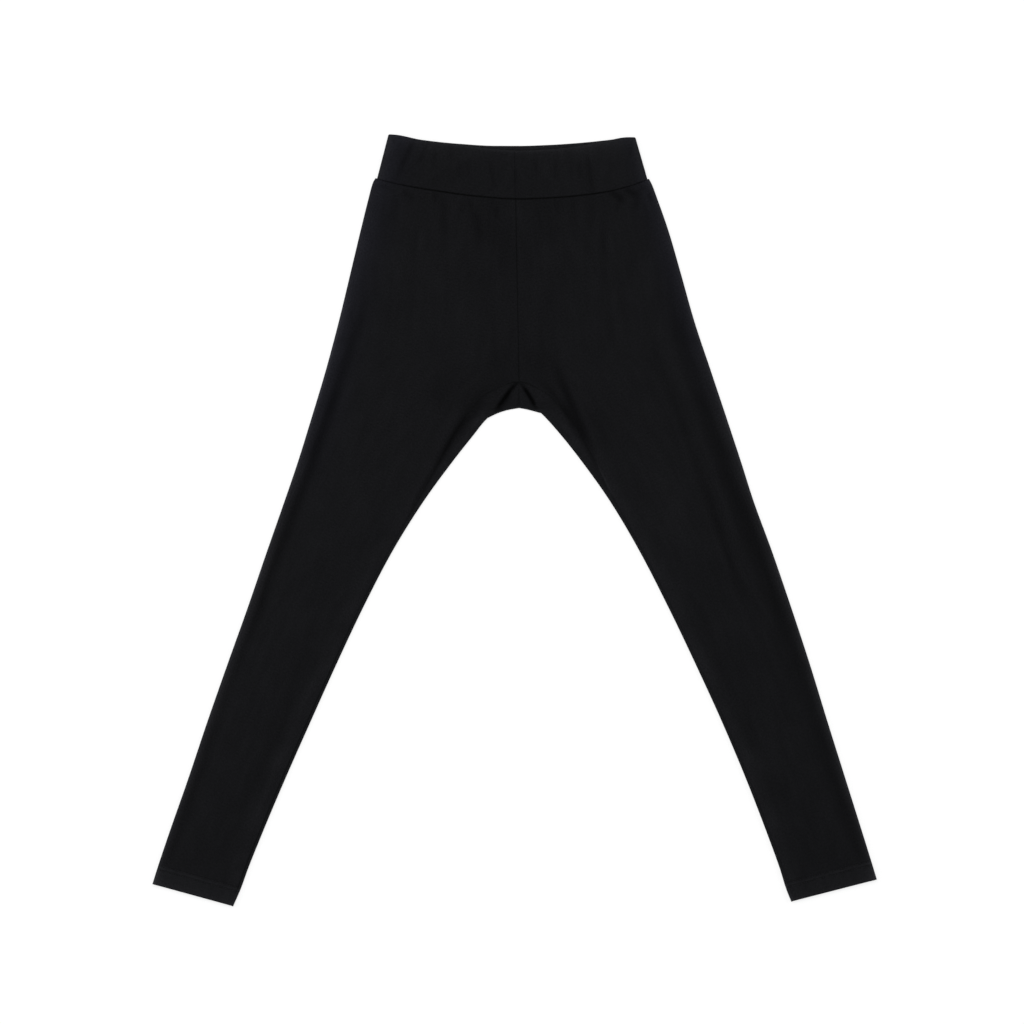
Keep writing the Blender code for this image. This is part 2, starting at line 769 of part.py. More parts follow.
def thicken(piece, thickness, even):
    """Give a sheet its cloth's thickness, inward from its outer face."""
    solidify = piece.modifiers.new("cloth", "SOLIDIFY")
    solidify.thickness = thickness * MM
    solidify.offset = -1.0
    solidify.use_even_offset = even
    solidify.use_quality_normals = True
    shading = piece.modifiers.new("flat cloth shades flat", "WEIGHTED_NORMAL")
    shading.keep_sharp = True
    return solidify


def make_leg(leg, collection):
    """One leg, with its hem thicker than the rest."""
    grid, rows = leg_grid(leg)
    piece, numbers = sheet_object(leg.node, grid, collection, turned=leg.sign > 0)
    solidify = thicken(piece, CLOTH * HEM_LAYERS, even=True)
    layers = piece.vertex_groups.new(name="layers")
    for row, line in zip(rows, grid):
        weight = 1.0 if row.in_hem else 1.0 / HEM_LAYERS
        layers.add(sorted({numbers[point] for point in line if point}), weight, "REPLACE")
    solidify.vertex_group = layers.name
    return piece


def make_waistband(collection):
    """The waistband, folded double."""
    piece, _ = sheet_object("waistband", band_grid(), collection)
    thicken(piece, CLOTH, even=False)
    return piece


def centre_on_origin(pieces, holder):
    """Move the holder so that the pieces' box stands centred on the origin."""
    bpy.context.view_layer.update()
    depsgraph = bpy.context.evaluated_depsgraph_get()
    corners = [
        piece.matrix_world @ vertex.co
        for piece in pieces
        for vertex in piece.evaluated_get(depsgraph).data.vertices
    ]
    for axis in (0, 1):
        values = [corner[axis] for corner in corners]
        holder.location[axis] = -0.5 * (min(values) + max(values))
    holder.location[2] = -min(corner[2] for corner in corners)


def main():
    """Build the leggings."""
    for existing in list(bpy.data.objects):
        bpy.data.objects.remove(existing, do_unlink=True)
    collection = bpy.data.collections.new("leggings")
    bpy.context.scene.collection.children.link(collection)
    holder = bpy.data.objects.new("leggings_layout", None)
    collection.objects.link(holder)
    pieces = [make_leg(leg, collection) for leg in LEGS]
    pieces.append(make_waistband(collection))
    for piece in pieces:
        piece.parent = holder
    centre_on_origin(pieces, holder)
    bpy.context.view_layer.update()


main()
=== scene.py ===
"""Looks of the leggings: fine cloth on the solids' form, with creases, seams, hems and thread.

Sizes are in millimetres until the meshes are made, and MM turns them into metres.
Plan positions are (x, down): x runs to the wearer's left and down is the distance below
the waistband's highest corner. ORIGIN is the row frame's origin in that plan.
"""

import math
from typing import NamedTuple

import bpy
import numpy as np
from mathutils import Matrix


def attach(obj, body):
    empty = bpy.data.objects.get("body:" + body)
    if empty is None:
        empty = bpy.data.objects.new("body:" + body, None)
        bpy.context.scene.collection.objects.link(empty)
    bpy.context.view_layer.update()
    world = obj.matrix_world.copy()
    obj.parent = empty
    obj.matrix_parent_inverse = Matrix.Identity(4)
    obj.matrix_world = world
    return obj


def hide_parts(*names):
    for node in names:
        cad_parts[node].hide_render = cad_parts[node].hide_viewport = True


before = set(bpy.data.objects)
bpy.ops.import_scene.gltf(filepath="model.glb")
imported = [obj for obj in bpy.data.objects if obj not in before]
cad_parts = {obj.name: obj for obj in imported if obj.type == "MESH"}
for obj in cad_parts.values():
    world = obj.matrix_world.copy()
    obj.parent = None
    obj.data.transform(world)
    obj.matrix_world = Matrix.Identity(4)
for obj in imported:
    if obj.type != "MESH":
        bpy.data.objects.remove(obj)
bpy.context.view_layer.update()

MM = 0.001
ORIGIN = (-0.0716, 474.15)


def table(kind, *rows):
    """Rows of a table, with their values named."""
    return tuple(kind(*row) for row in rows)


# Cloth
CLOTH = 1.0       # one layer of knitted cloth
SEAM_GAP = -0.04  # sewn edges press on each other
HEM_DEPTH = 20.0  # turned-up hem
HEM_STEP = 3.0    # the panel climbs on to the hem's two layers over this length
HEM_LAYERS = 1.6  # the hem's wall, pressed flat, as a multiple of CLOTH
HEM_RISE = 0.8    # the hem stands above the panel by this much

# Heights above the surface, and radii of the folds
PANEL_HEIGHT = 3.8       # top of the front panel where it lies flattest
WAIST_HEIGHT = 4.8       # the same along the waist seam
OUTER_ROLL = 2.4         # outer fold
WAIST_ROLL = 2.9         # the same at the waist seam
HEM_ROLL = 2.7           # the same at the hem
INNER_ROLL = 2.1         # inner fold down the leg
INNER_HEM_ROLL = 2.4     # the same at the hem
INSEAM_RISE = 0.3        # the front swells beside the inseam by this much
INSEAM_SWELL = 18.0      # and the swelling dies away over this width
RECESS_HEIGHT = 2.6      # the back's cloth in the recess on each side of the crotch
RECESS_EDGE = 2.0        # the leg's cloth climbs out of the recess over this length
RECESS_SHARE = 0.35      # below the crotch it lies this share of the way to the inseam
RECESS_NEAREST = 0.25    # and never nearer the inner fold than this share of the flap
RECESS_FURTHEST = 0.6    # nor further from it than this share
CLIMB_SHARE = 0.4        # longest climb, as a share of the flap left beyond the recess
FLAP_RIDGE = 0.5         # the flap swells above the inseam by this much
FLAP_RIDGE_WIDTH = 15.0  # on a flap this wide or wider

# Shares of the hips, from the waist seam to the crotch, over which the shape changes
WAIST_ROLL_SHARE = 0.2    # the outer fold tightens
WAIST_RISE_SHARE = 0.15   # the front sinks from WAIST_HEIGHT to PANEL_HEIGHT
OUTER_TROUGH_SHARE = 0.3  # the trough inside the outer fold begins here
OUTER_TROUGH_GROWTH = 0.6 # and reaches its depth over this share
OUTER_TROUGH_END = 40.0   # it ends this far above the hem
OUTER_TROUGH_FADE = 80.0  # and fades over this length

# The waistband: one strip folded double at the top
BAND_WALL = 2.7     # both layers of the folded strip
BAND_HEIGHT = 6.0   # front and back walls on each other
BAND_ROLL = 3.5     # radius of the fold at each side
BAND_BLEND = 30.0   # the side fold flattens into the panels over this width
BAND_SEAM_X = -0.5  # closing seam at centre front

# Rise seams
CENTRE_X_WAIST = 0.8
CENTRE_X_CROTCH = 5.0
CROTCH_DOWN = 303.0  # where both rise seams meet both inseams


class OuterEdge(NamedTuple):
    """Outer fold of each leg."""
    down: float
    right: float
    left: float


OUTER_EDGE = table(
    OuterEdge,
    (55.2, -171.0, 164.0),
    (60.0, -173.8, 166.8),
    (80.0, -179.5, 174.5),
    (120.0, -189.5, 188.5),
    (170.0, -201.5, 203.0),
    (230.0, -216.0, 220.0),
    (290.0, -232.0, 240.0),
    (350.0, -250.0, 260.0),
    (400.0, -265.5, 276.5),
    (450.0, -282.5, 292.5),
    (510.0, -303.5, 314.5),
    (580.0, -327.5, 338.5),
    (650.0, -352.5, 361.5),
    (720.0, -377.0, 383.0),
    (790.0, -400.5, 405.0),
    (860.0, -425.0, 427.0),
    (900.0, -438.4, 439.4),
    (917.0, -443.7, 444.5),
)


class InnerEdge(NamedTuple):
    """Inner fold of each leg, and how far in from it the inseam lies on the front."""
    down: float
    right: float
    left: float
    right_inseam: float
    left_inseam: float


INNER_EDGE = table(
    InnerEdge,
    (342.0, -26.0, 32.0, 24.0, 25.0),
    (348.0, -33.6, 38.0, 23.0, 24.0),
    (370.0, -51.8, 57.3, 21.0, 21.0),
    (400.0, -75.5, 81.0, 15.0, 15.0),
    (450.0, -112.0, 116.5, 6.8, 5.4),
    (510.0, -149.5, 152.0, 3.8, 3.8),
    (580.0, -186.0, 188.0, 3.6, 3.6),
    (650.0, -219.0, 221.5, 3.6, 3.6),
    (720.0, -250.5, 253.5, 3.6, 3.6),
    (790.0, -281.5, 283.0, 3.6, 3.6),
    (860.0, -311.0, 310.0, 3.6, 3.6),
    (900.0, -327.0, 324.5, 3.6, 3.6),
    (925.0, -336.1, 332.3, 3.6, 3.6),
    (944.5, -344.6, 340.2, 3.6, 3.6),
)


class CrotchEdge(NamedTuple):
    """The back's fold at the bottom of the crotch, from the centre (share 0) to the leg.

    recess and inseam are the distances in from the fold to where the front tucks down
    beside the crotch, and to the inseam. height is the whole height of the fold.
    """
    share: float
    x: float
    down: float
    recess: float
    inseam: float
    height: float


RIGHT_CROTCH = table(
    CrotchEdge,
    (0.0, 5.0, 335.7, 22.0, 48.0, 3.0),
    (0.35, -8.0, 338.0, 13.5, 39.0, 3.2),
    (0.7, -20.0, 341.6, 7.5, 31.0, 3.7),
    (1.0, -33.6, 348.0, 5.0, 23.0, 4.2),
)
LEFT_CROTCH = table(
    CrotchEdge,
    (0.0, 5.0, 335.7, 18.5, 43.0, 3.0),
    (0.35, 13.5, 337.2, 12.5, 37.0, 3.2),
    (0.7, 23.0, 339.6, 7.5, 30.0, 3.7),
    (1.0, 32.0, 342.0, 5.0, 25.0, 4.2),
)
INSEAM_ARC = 0.8   # below the crotch point the inseams open in an arc: 1 is straight
CROTCH_TURN = 0.5  # share of the fold over which rows turn from the centre to the leg
SHARE_STEP = 0.05  # short step along the fold that gives its direction
DOWN_STEP = 5.0    # short step down the inner fold that gives its direction
UP_THE_PLAN = np.array((0.0, -1.0))


class WaistSeam(NamedTuple):
    """Waist seam on the front and on the back."""
    x: float
    front: float
    back: float


WAIST_SEAM = table(
    WaistSeam,
    (-169.0, 54.6, 54.6),
    (-141.0, 61.7, 60.8),
    (-97.0, 69.4, 67.0),
    (-50.0, 75.8, 71.4),
    (5.0, 79.5, 73.8),
    (55.0, 77.4, 72.6),
    (105.0, 71.9, 69.0),
    (138.0, 64.2, 63.0),
    (162.5, 55.4, 55.4),
)


class TopEdge(NamedTuple):
    """Waistband's folded top edge on the front and on the back."""
    x: float
    front: float
    back: float


TOP_EDGE = table(
    TopEdge,
    (-155.0, 0.4, 0.4),
    (-146.0, 1.0, 1.0),
    (-116.0, 6.9, 6.7),
    (-67.0, 13.2, 11.9),
    (-25.0, 18.7, 14.3),
    (5.0, 20.4, 14.4),
    (40.0, 19.0, 13.3),
    (77.0, 15.2, 10.9),
    (117.0, 7.2, 6.8),
    (138.0, 4.0, 3.9),
    (147.5, 4.0, 4.0),
)
BAND_TOP_X = (-155.0, 147.5)
BAND_BOTTOM_X = (-169.0, 162.3)


class Leg(NamedTuple):
    """One leg: its node, its side of the wearer and where its rows end."""
    node: str
    side: str
    sign: int
    crotch_edge: tuple
    outer_at_crotch: float
    outer_at_fold: float
    outer_at_fold_end: float
    hem_outer: float
    hem_inner: float


LEGS = (
    Leg("leg_right", "right", -1, RIGHT_CROTCH, 245.0, 261.0, 279.0, 918.9, 946.4),
    Leg("leg_left", "left", 1, LEFT_CROTCH, 245.0, 261.0, 276.0, 913.3, 940.6),
)


class Crease(NamedTuple):
    """A soft trough, or a ridge where depth is negative, along a line of plan points.

    shade is how much darker its cloth is painted at its middle, as a share: painted shade in a trough,
    and a painted highlight on a ridge, where it is negative.
    """
    path: tuple
    width: float
    depth: float
    shade: float


LEG_CREASES = table(
    Crease,
    # Right leg, inner crease and the ridge beside it
    (
        (
            (-48, 328), (-58, 342), (-70, 360), (-82, 381), (-96, 406),
            (-109, 428), (-124, 454), (-138, 485),
        ),
        10.0, 0.90, 0.31,
    ),
    (((-22, 304), (-44, 322), (-62, 347), (-82, 381), (-104, 419)), 19.0, 0.60, 0.28),
    (((-31, 333), (-48, 354), (-60, 372), (-72, 385)), 9.0, -0.40, -0.14),
    (((-76, 391), (-92, 409), (-104, 424)), 7.0, -0.30, -0.12),
    (((-232, 644), (-256, 688), (-273, 726)), 16.0, -0.40, -0.10),
    (((-268, 715), (-300, 795), (-338, 881)), 16.0, -0.40, -0.11),
    (((-190, 561), (-205, 589), (-214, 606)), 15.0, -0.30, -0.10),
    (((-158, 491), (-170, 513)), 12.0, -0.25, -0.07),
    (((-125, 445), (-134, 463)), 8.0, -0.25, -0.10),
    (((-30, 318), (-43, 333), (-50, 343), (-58, 351), (-66, 363), (-74, 378)), 14.0, 0.30, 0.26),
    (((12, 300), (-20, 310), (-55, 322), (-85, 346)), 34.0, 0.20, 0.13),
    # Middle of the hips
    (((0, 60), (2, 330)), 170.0, 0.15, 0.06),
    (((-80, 74), (-40, 80), (50, 82), (120, 76)), 36.0, 0.05, 0.09),
    # Right hip, gathers below the waistband
    (((-172, 62), (-149, 67)), 7.0, 0.30, 0.20),
    (((-89, 66), (-86, 92), (-88, 134)), 15.0, 0.50, 0.20),
    (((-66, 78), (-64, 101)), 12.0, 0.40, 0.18),
    (((-56, 78), (-47, 108), (-39, 138)), 16.0, 0.60, 0.17),
    (((-28, 76), (-21, 102)), 10.0, 0.40, 0.15),
    (((-121, 81), (-125, 152), (-147, 249)), 22.0, 0.60, 0.07),
    (((-136, 66), (-133, 79)), 9.0, 0.45, 0.31),
    (((-129, 70), (-125, 85)), 9.0, 0.35, 0.22),
    (((-99, 68), (-97, 86)), 9.0, 0.40, 0.27),
    (((-57, 78), (-54, 92)), 8.0, 0.35, 0.25),
    (((-24, 88), (-22, 107)), 12.0, 0.40, 0.17),
    (((-146, 69), (-152, 115)), 20.0, 0.40, 0.14),
    (((-55, 80), (-28, 145)), 66.0, 0.15, 0.13),
    (((-15, 75), (-12, 140), (-14, 195)), 52.0, 0.15, 0.08),
    (((-40, 170), (-30, 195)), 40.0, 0.15, 0.08),
    (((-102, 346), (-84, 316), (-58, 274)), 60.0, 0.15, 0.13),
    (((-144, 126), (-138, 184)), 44.0, -0.20, -0.14),
    (((-111, 111), (-116, 148), (-121, 185)), 16.0, -0.30, -0.07),
    (((-184, 124), (-190, 157), (-200, 191)), 22.0, -0.30, -0.08),
    (((-91, 287), (-97, 336)), 16.0, 0.40, 0.10),
    (((-141, 185), (-159, 240), (-178, 301)), 24.0, 0.40, 0.08),
    (((-60, 211), (-32, 243)), 26.0, -0.25, -0.07),
    # Right leg, broad unevenness
    (((-244, 605), (-283, 713), (-321, 795), (-354, 871)), 30.0, 0.40, 0.10),
    (((-236, 430), (-247, 467)), 26.0, -0.30, -0.10),
    (((-186, 228), (-196, 268)), 36.0, -0.15, -0.09),
    (((-204, 296), (-214, 340)), 36.0, -0.15, -0.08),
    (((-288, 566), (-300, 602)), 34.0, -0.15, -0.07),
    (((-350, 880), (-340, 925)), 40.0, -0.10, -0.06),
    (((-310, 620), (-318, 654)), 24.0, -0.30, -0.08),
    (((-359, 736), (-368, 779)), 22.0, -0.25, -0.07),
    (((-180, 368), (-172, 412)), 36.0, -0.20, -0.07),
    (((-75, 300), (-20, 286), (0, 282), (30, 286), (80, 308)), 60.0, 0.15, 0.10),
    (((-238, 590), (-252, 625)), 34.0, 0.20, 0.10),
    (((-284, 650), (-300, 690)), 28.0, 0.20, 0.08),
    (((-284, 700), (-270, 742)), 34.0, -0.15, -0.07),
    # Left leg, second crease and its ridge
    (
        (
            (155, 204), (174, 271), (185, 305), (206, 358), (232, 431),
            (259, 510), (281, 568), (294, 606),
        ),
        20.0, 0.80, 0.14,
    ),
    (((222, 404), (240, 452), (259, 510), (282, 575)), 14.0, 0.25, 0.13),
    (((200, 342), (216, 378)), 28.0, 0.20, 0.10),
    (((70, 212), (76, 244)), 38.0, 0.15, 0.08),
    (((180, 228), (202, 300), (216, 350)), 18.0, -0.40, -0.09),
    (((224, 368), (247, 420), (266, 480), (285, 534)), 12.0, -0.40, -0.11),
    # Left leg, inner crease and the ridge beside it
    (
        (
            (26, 236), (41, 270), (56, 300), (69, 330), (82, 361), (94, 391),
            (104, 414), (115, 438),
        ),
        15.0, 0.90, 0.20,
    ),
    (((46, 280), (66, 322), (82, 361), (97, 398)), 20.0, 0.50, 0.28),
    (((20, 296), (38, 308), (52, 326), (66, 346), (78, 368)), 14.0, 0.40, 0.29),
    (((34, 330), (61, 358), (85, 390), (102, 418)), 12.0, -0.40, -0.20),
    (((54, 314), (65, 343), (73, 358), (80, 370), (87, 388)), 16.0, 0.30, 0.22),
    (((36, 322), (46, 342), (58, 360)), 20.0, 0.10, 0.10),
    (((94, 326), (108, 396)), 54.0, 0.10, 0.12),
    (((96, 398), (106, 416), (114, 432), (121, 450)), 5.0, -0.30, -0.42),
    (((146, 488), (176, 538), (200, 581)), 16.0, -0.40, -0.08),
    (((206, 598), (228, 647), (243, 676)), 16.0, -0.40, -0.08),
    (((250, 691), (276, 740), (294, 788)), 16.0, -0.40, -0.10),
    (((290, 684), (310, 730), (303, 790), (300, 830)), 60.0, -0.10, -0.10),
    (((299, 796), (316, 835), (330, 877)), 15.0, -0.40, -0.07),
    # Left hip, gathers below the waistband
    (((109, 90), (108, 130), (109, 164), (111, 213)), 15.0, 0.70, 0.17),
    (((112, 69), (124, 75), (138, 84)), 14.0, 0.50, 0.40),
    (((130, 67), (141, 71), (153, 76)), 14.0, 0.40, 0.40),
    (((154, 68), (150, 80), (146, 98)), 13.0, 0.35, 0.26),
    (((148, 69), (165, 65)), 7.0, 0.30, 0.22),
    (((162, 68), (168, 86)), 9.0, 0.20, 0.25),
    (((25, 80), (45, 115), (58, 140)), 66.0, 0.15, 0.13),
    (((110, 198), (116, 240), (125, 274)), 16.0, 0.50, 0.11),
    (((121, 185), (120, 234)), 10.0, -0.25, -0.08),
    (((128, 76), (124, 98)), 8.0, 0.40, 0.14),
    (((69, 74), (74, 115)), 15.0, 0.40, 0.17),
    (((93, 76), (94, 127)), 13.0, 0.40, 0.10),
    (((50, 76), (53, 102)), 10.0, 0.30, 0.11),
    (((156, 64), (168, 103)), 10.0, -0.30, -0.08),
    (((36, 125), (45, 169)), 30.0, -0.30, -0.08),
    (((153, 148), (165, 206)), 24.0, -0.30, -0.08),
    (((47, 185), (39, 218)), 22.0, 0.30, 0.07),
    # Left leg, broad unevenness
    (((212, 546), (255, 671), (296, 768), (344, 871)), 34.0, 0.35, 0.08),
    (((158, 440), (172, 484), (220, 508), (244, 524)), 46.0, -0.20, -0.12),
    (((306, 570), (318, 610)), 26.0, -0.15, -0.10),
    (((244, 376), (258, 424)), 28.0, -0.15, -0.07),
    (((336, 716), (356, 770)), 40.0, -0.30, -0.10),
    (((327, 789), (334, 823)), 24.0, 0.30, 0.07),
    (((164, 350), (178, 410), (204, 520)), 54.0, -0.20, -0.10),
)
BAND_CREASES = table(
    Crease,
    (((-118, -6), (-126, 12), (-134, 30), (-149, 60)), 11.0, 0.50, 0.30),
    (((-144, 8), (-158, 44)), 30.0, -0.10, -0.12),
    (((-34, 52), (6, 62)), 40.0, 0.05, 0.07),
    (((-104, 5), (-112, 22), (-120, 40)), 9.0, 0.35, 0.19),
    (((-98, 16), (-101, 45)), 9.0, 0.30, 0.17),
    (((-79, 10), (-77, 36)), 9.0, 0.30, 0.15),
    (((-68, 26), (-68, 58)), 9.0, 0.30, 0.13),
    (((-58, 27), (-56, 56)), 9.0, 0.30, 0.10),
    (((-31, 26), (-29, 47), (-24, 72)), 9.0, 0.40, 0.18),
    (((-7, 23), (-7, 38)), 8.0, -0.20, -0.11),
    (((24, 28), (27, 53)), 9.0, 0.35, 0.15),
    (((38, 34), (38, 54)), 8.0, -0.20, -0.10),
    (((49, 27), (49, 61)), 9.0, 0.40, 0.18),
    (((56, 16), (59, 36)), 9.0, -0.20, -0.14),
    (((78, 32), (81, 56)), 8.0, 0.30, 0.14),
    (((87, 18), (91, 43), (95, 78)), 9.0, 0.45, 0.22),
    (((-1, 38), (1, 64)), 9.0, 0.20, 0.17),
    (((100, 34), (112, 56)), 24.0, -0.20, -0.08),
    (((112, 54), (142, 50)), 30.0, -0.10, -0.10),
    (((142, 10), (143, 32)), 9.0, 0.30, 0.15),
)
BACK_CREASES = table(
    Crease,
    # Back of the right leg
    (((-176, 190), (-198, 262), (-226, 345), (-262, 452)), 18.0, 0.50, 0.12),
    (((-282, 500), (-322, 615), (-352, 702)), 16.0, 0.50, 0.11),
    (((-60, 350), (-84, 402), (-118, 462), (-150, 530)), 14.0, 0.50, 0.18),
    (((-34, 86), (-38, 120), (-52, 162)), 13.0, 0.40, 0.09),
    (((-82, 82), (-90, 128), (-96, 190)), 17.0, 0.40, 0.08),
    (((-128, 76), (-131, 104)), 10.0, 0.35, 0.10),
    (((-190, 420), (-214, 520), (-248, 610)), 26.0, 0.30, 0.05),
    # Back of the left leg
    (((172, 180), (196, 270), (228, 352), (250, 420)), 17.0, 0.50, 0.12),
    (((262, 470), (300, 575), (342, 700), (372, 800)), 18.0, 0.50, 0.13),
    (((44, 340), (80, 398), (112, 452), (136, 500)), 14.0, 0.50, 0.17),
    (((48, 84), (46, 116), (58, 150)), 12.0, 0.40, 0.09),
    (((96, 82), (101, 140), (108, 212)), 17.0, 0.40, 0.08),
    (((132, 76), (128, 100)), 9.0, 0.35, 0.10),
    (((190, 380), (216, 470), (252, 590)), 24.0, 0.30, 0.06),
)
# Painted shade in the recesses beside the crotch: these creases have no depth, only shade.
RECESS_CREASES = table(
    Crease,
    (((8.5, 297), (-4.8, 312.5), (-12, 321), (-18.5, 329.5), (-26, 342)), 8.5, 0.0, 0.76),
    (((-2, 312), (-15, 330), (-28, 348)), 12.0, 0.0, 0.50),
    (((4, 300), (12, 312), (17.5, 319.5), (22, 328), (28, 342)), 7.5, 0.0, 0.68),
    (((9, 308), (18, 322), (26, 338)), 9.0, 0.0, 0.42),
)


class Profile(NamedTuple):
    """Height of a front panel less PANEL_HEIGHT, at a distance in from its outer fold."""
    inset: float
    rise: float


OUTER_PROFILE = table(
    Profile,
    (0.0, 1.0),
    (7.0, 0.6),
    (17.0, -0.5),
    (30.0, 0.0),
    (60.0, 0.0),
)

# Rows along each leg and columns across it
HIP_STEP = 2.8
CROTCH_ROWS = 14
FOLD_ROWS = 18
SHANK_STEP = 3.1
STITCH_BAND = (16.5, 27.0)        # between these heights above the hem the rows are closest
STITCH_STEP = 0.45
HEM_ROWS = 6
HEM_END = (0.0, 0.15, 0.45, 0.8)  # rows that round the hem's lower edge
SEAM_INSETS = (0.0, 0.3, 0.65, 1.05, 1.5, 2.1, 3.0, 4.4, 6.5, 9.5, 13.5, 18.5, 24.0, 29.0)
OUTER_INSETS = (29.0, 25.5, 22.0, 19.0, 16.5, 14.0, 11.8, 9.8, 8.0, 6.4, 5.0, 3.6)
WAIST_INSETS = (0.0, 0.35, 0.75, 1.2, 1.8, 2.6, 3.8, 5.5, 7.8)
MIDDLE_COLUMNS = 36
SEAM_MIDDLE_COLUMN = len(SEAM_INSETS) + MIDDLE_COLUMNS // 2
BACK_COLUMNS = 26
BACK_INSETS = (0.0, 0.35, 0.8, 1.5, 2.6, 4.5)
RECESS_COLUMNS = 5
CLIMB_COLUMNS = 4
FLAP_COLUMNS = 8
ROLL_STEPS = 10
NARROWEST_FLAP = 0.8
TINY = 1e-9                       # points no further apart than this are one

# Columns round the waistband and rows up it
BAND_FRONT_COLUMNS = 72
BAND_BACK_COLUMNS = 110
CLOSING_INSETS = (0.0, 0.3, 0.7, 1.2, 2.0, 3.2)
BAND_SPACING_HEIGHT = 60.0  # rows are spaced as on a waistband this high
BAND_STEP = 2.6
TOP_FOLD_STEPS = 10
BAND_INSIDE_ROWS = 14

# Creases
TROUGH_DEPTH = 3.0       # depth of the outer trough for each unit of its shade
CREASE_END = 60.0        # a long crease runs out over this length at each end
CREASE_END_SHARE = 0.35  # and a short one over this share of its length
CREASE_HEM_FADE = 10.0   # creases stop at the hem over this length
BAND_CREASE_FADE = 5.0   # and at the waistband's top edge over this one

# Seam grooves
RISE_GROOVE = (1.1, 0.35, 0.44)  # width on each side, depth, and painted shade: darker by this share
WAIST_GROOVE = (1.6, 0.85, 0.90)
INSEAM_GROOVE = (1.5, 0.35, 0.46)
CLOSING_GROOVE = (0.9, 0.25, 0.24)
GROOVE_SHADE = 0.55              # the painted dark line reaches this share of the width
WAIST_GROOVE_SIDE = 0.15         # share of the waist seam's depth at the side folds
WAIST_GROOVE_FADE = 75.0         # it reaches all of it this far in
CROTCH_POINT = np.array((5.0, 303.5))
INSEAM_AT_CROTCH = 2.5           # times its depth at the crotch point
INSEAM_REACH = (13.0, 20.0)      # how far that reaches to the right and to the left
INSEAM_SHANK = {"right": 1.0, "left": 0.25}  # share of its depth below the thigh
INSEAM_ON_THIGH = 0.35           # and on the thigh
INSEAM_THIGH = (300.0, 480.0)    # heights above the hem between which it changes
INSEAM_ON_HEM = 0.25             # share of that which is left on the hem
INSEAM_ANKLE = (14.0, 26.0)      # heights between which it changes


class Stripe(NamedTuple):
    """A soft stripe of painted highlight beside a seam: the cloth is painted lighter there."""
    strength: float
    middle: float             # distance of its middle from the seam
    reach: float

    def at(self, from_seam):
        """How much lighter the cloth is painted at distances from the seam."""
        return self.strength * np.exp(-((from_seam - self.middle) / self.reach) ** 2)


RISE_STRIPE = Stripe(0.09, 3.5, 2.5)
INSEAM_STRIPES = {  # painted highlight beside the inseam, stronger on the left leg, whose seam lies at the fold
    "right": (Stripe(0.08, 0.0, 6.0), Stripe(0.07, 11.0, 9.0)),
    "left": (Stripe(0.24, 0.0, 9.0), Stripe(0.07, 12.0, 9.0)),
}

# Ripples down the inner edge, and the painted highlight on them
INSEAM_RIPPLE = Stripe(1.0, 9.0, 6.5)
RIPPLE_HEIGHT = 0.30
RIPPLE_LIGHT = 0.10
RIPPLE_START = 0.15      # they grow over this share of the leg below the crotch
SLOW_RIPPLE = 33.0       # length of the slow ripples
QUICK_RIPPLE = 19.3      # and of the quick ones on them
SLOW_RIPPLE_SIZE = 0.3   # half of the slow ripples' height
QUICK_RIPPLE_SIZE = 0.2  # and of the quick ones'
QUICK_RIPPLE_LEAD = 2.0  # angle by which the quick ones lead
RIPPLE_WANDER = 1.4      # the slow ones come early or late by up to this angle
RIPPLE_WANDER_LENGTH = 47.0
RIPPLE_STRETCH = 40.0    # and are drawn out by this much over the whole leg
INNER_RIM = 0.2          # painted sheen on the inner fold
INNER_RIM_RIPPLE = 0.4   # and how much more at the ripples' height

# The flap: the back's cloth, folded forward as far as the inseam
CROTCH_ROLL_SHARE = 0.06         # the inner fold tightens over this share of the leg
WIDE_FLAP = 12.0                 # a flap this wide has its full creases and its broad light
NARROW_FLAP = 6.0                # and one this wide the full groove of its seam
FLAP_CREASES = 0.5               # share of the creases' depth that it takes
FLAP_CREASE_END = 3.0            # they stop at the inseam over this length
RECESS_CLOSES = 0.55             # share of the crotch's fold where the recess begins to close
RECESS_CLOSING = 0.4             # and share over which it closes
RECESS_DARKEST = 0.88            # its painted shade darkens the cloth by no more than this share
CROTCH_FLAP_LIGHT = 0.26         # painted sheen beside the crotch
SHANK_FLAP_LIGHT = (0.30, 0.58)  # on the thigh and below it
KNEE = (560.0, 420.0)            # heights above the hem between which that changes
FLAP_LIGHT_SHARE = 0.30          # it reaches this share of the flap
FLAP_LIGHT_REACH = 2.0           # and this much more
FLAP_LIGHT_LEAST = 0.35          # share of it that is left between the ripples
FOLD_LIGHT = 0.30                # the same painted sheen on a narrow flap
FOLD_LIGHT_REACH = 2.5
FLAP_PAINTED_SHEEN = 0.04                  # and painted sheen on the whole of every flap
TUCK = 0.3                       # a hidden edge lies this much below the cloth it is sewn to
TUCK_LIGHT = 0.8                 # its painted lightness below the crotch point, a painted shade where it tucks under
HIDDEN_LIGHT = 0.6               # and at the crotch point

# Hems
STITCH_ROWS = (23.3, 18.3)      # height of each row of thread above the hem's edge
STITCH_GROOVE = (0.8, 0.35)     # width on each side and depth
STITCH_SHADE = (0.44, 0.60)     # painted shade: how much darker the cloth is along each row of thread
STITCH_RIDGE = {"right": 0.09, "left": 0.17}  # and painted highlight: how much lighter it is between the rows
RIDGE_WIDTH = 1.2
RIDGE_DOTS = 0.5                # change of the thread's pull from one light dot to the next
RIDGE_DOTTED = 0.4              # how much lighter and darker the dots make the ridge's painted highlight
PULL_LENGTH = 2.9               # the thread pulls unevenly, in waves of this length
PULL_WANDER = 11.0              # which drift over this one
QUICK_PULL = 1.7                # with quicker waves on them
PULL_SIZES = (0.65, 0.2, 0.15)  # mean pull, and size of the slow and the quick waves
PULL_SLANT = 1.7                # and all of them lean as they rise
HEM_EDGE_WALL = 0.12            # share of the wall at the hem's very edge
HEM_LIGHT = {"right": 1.27, "left": 1.19}  # the turned-up hem is lighter than the leg
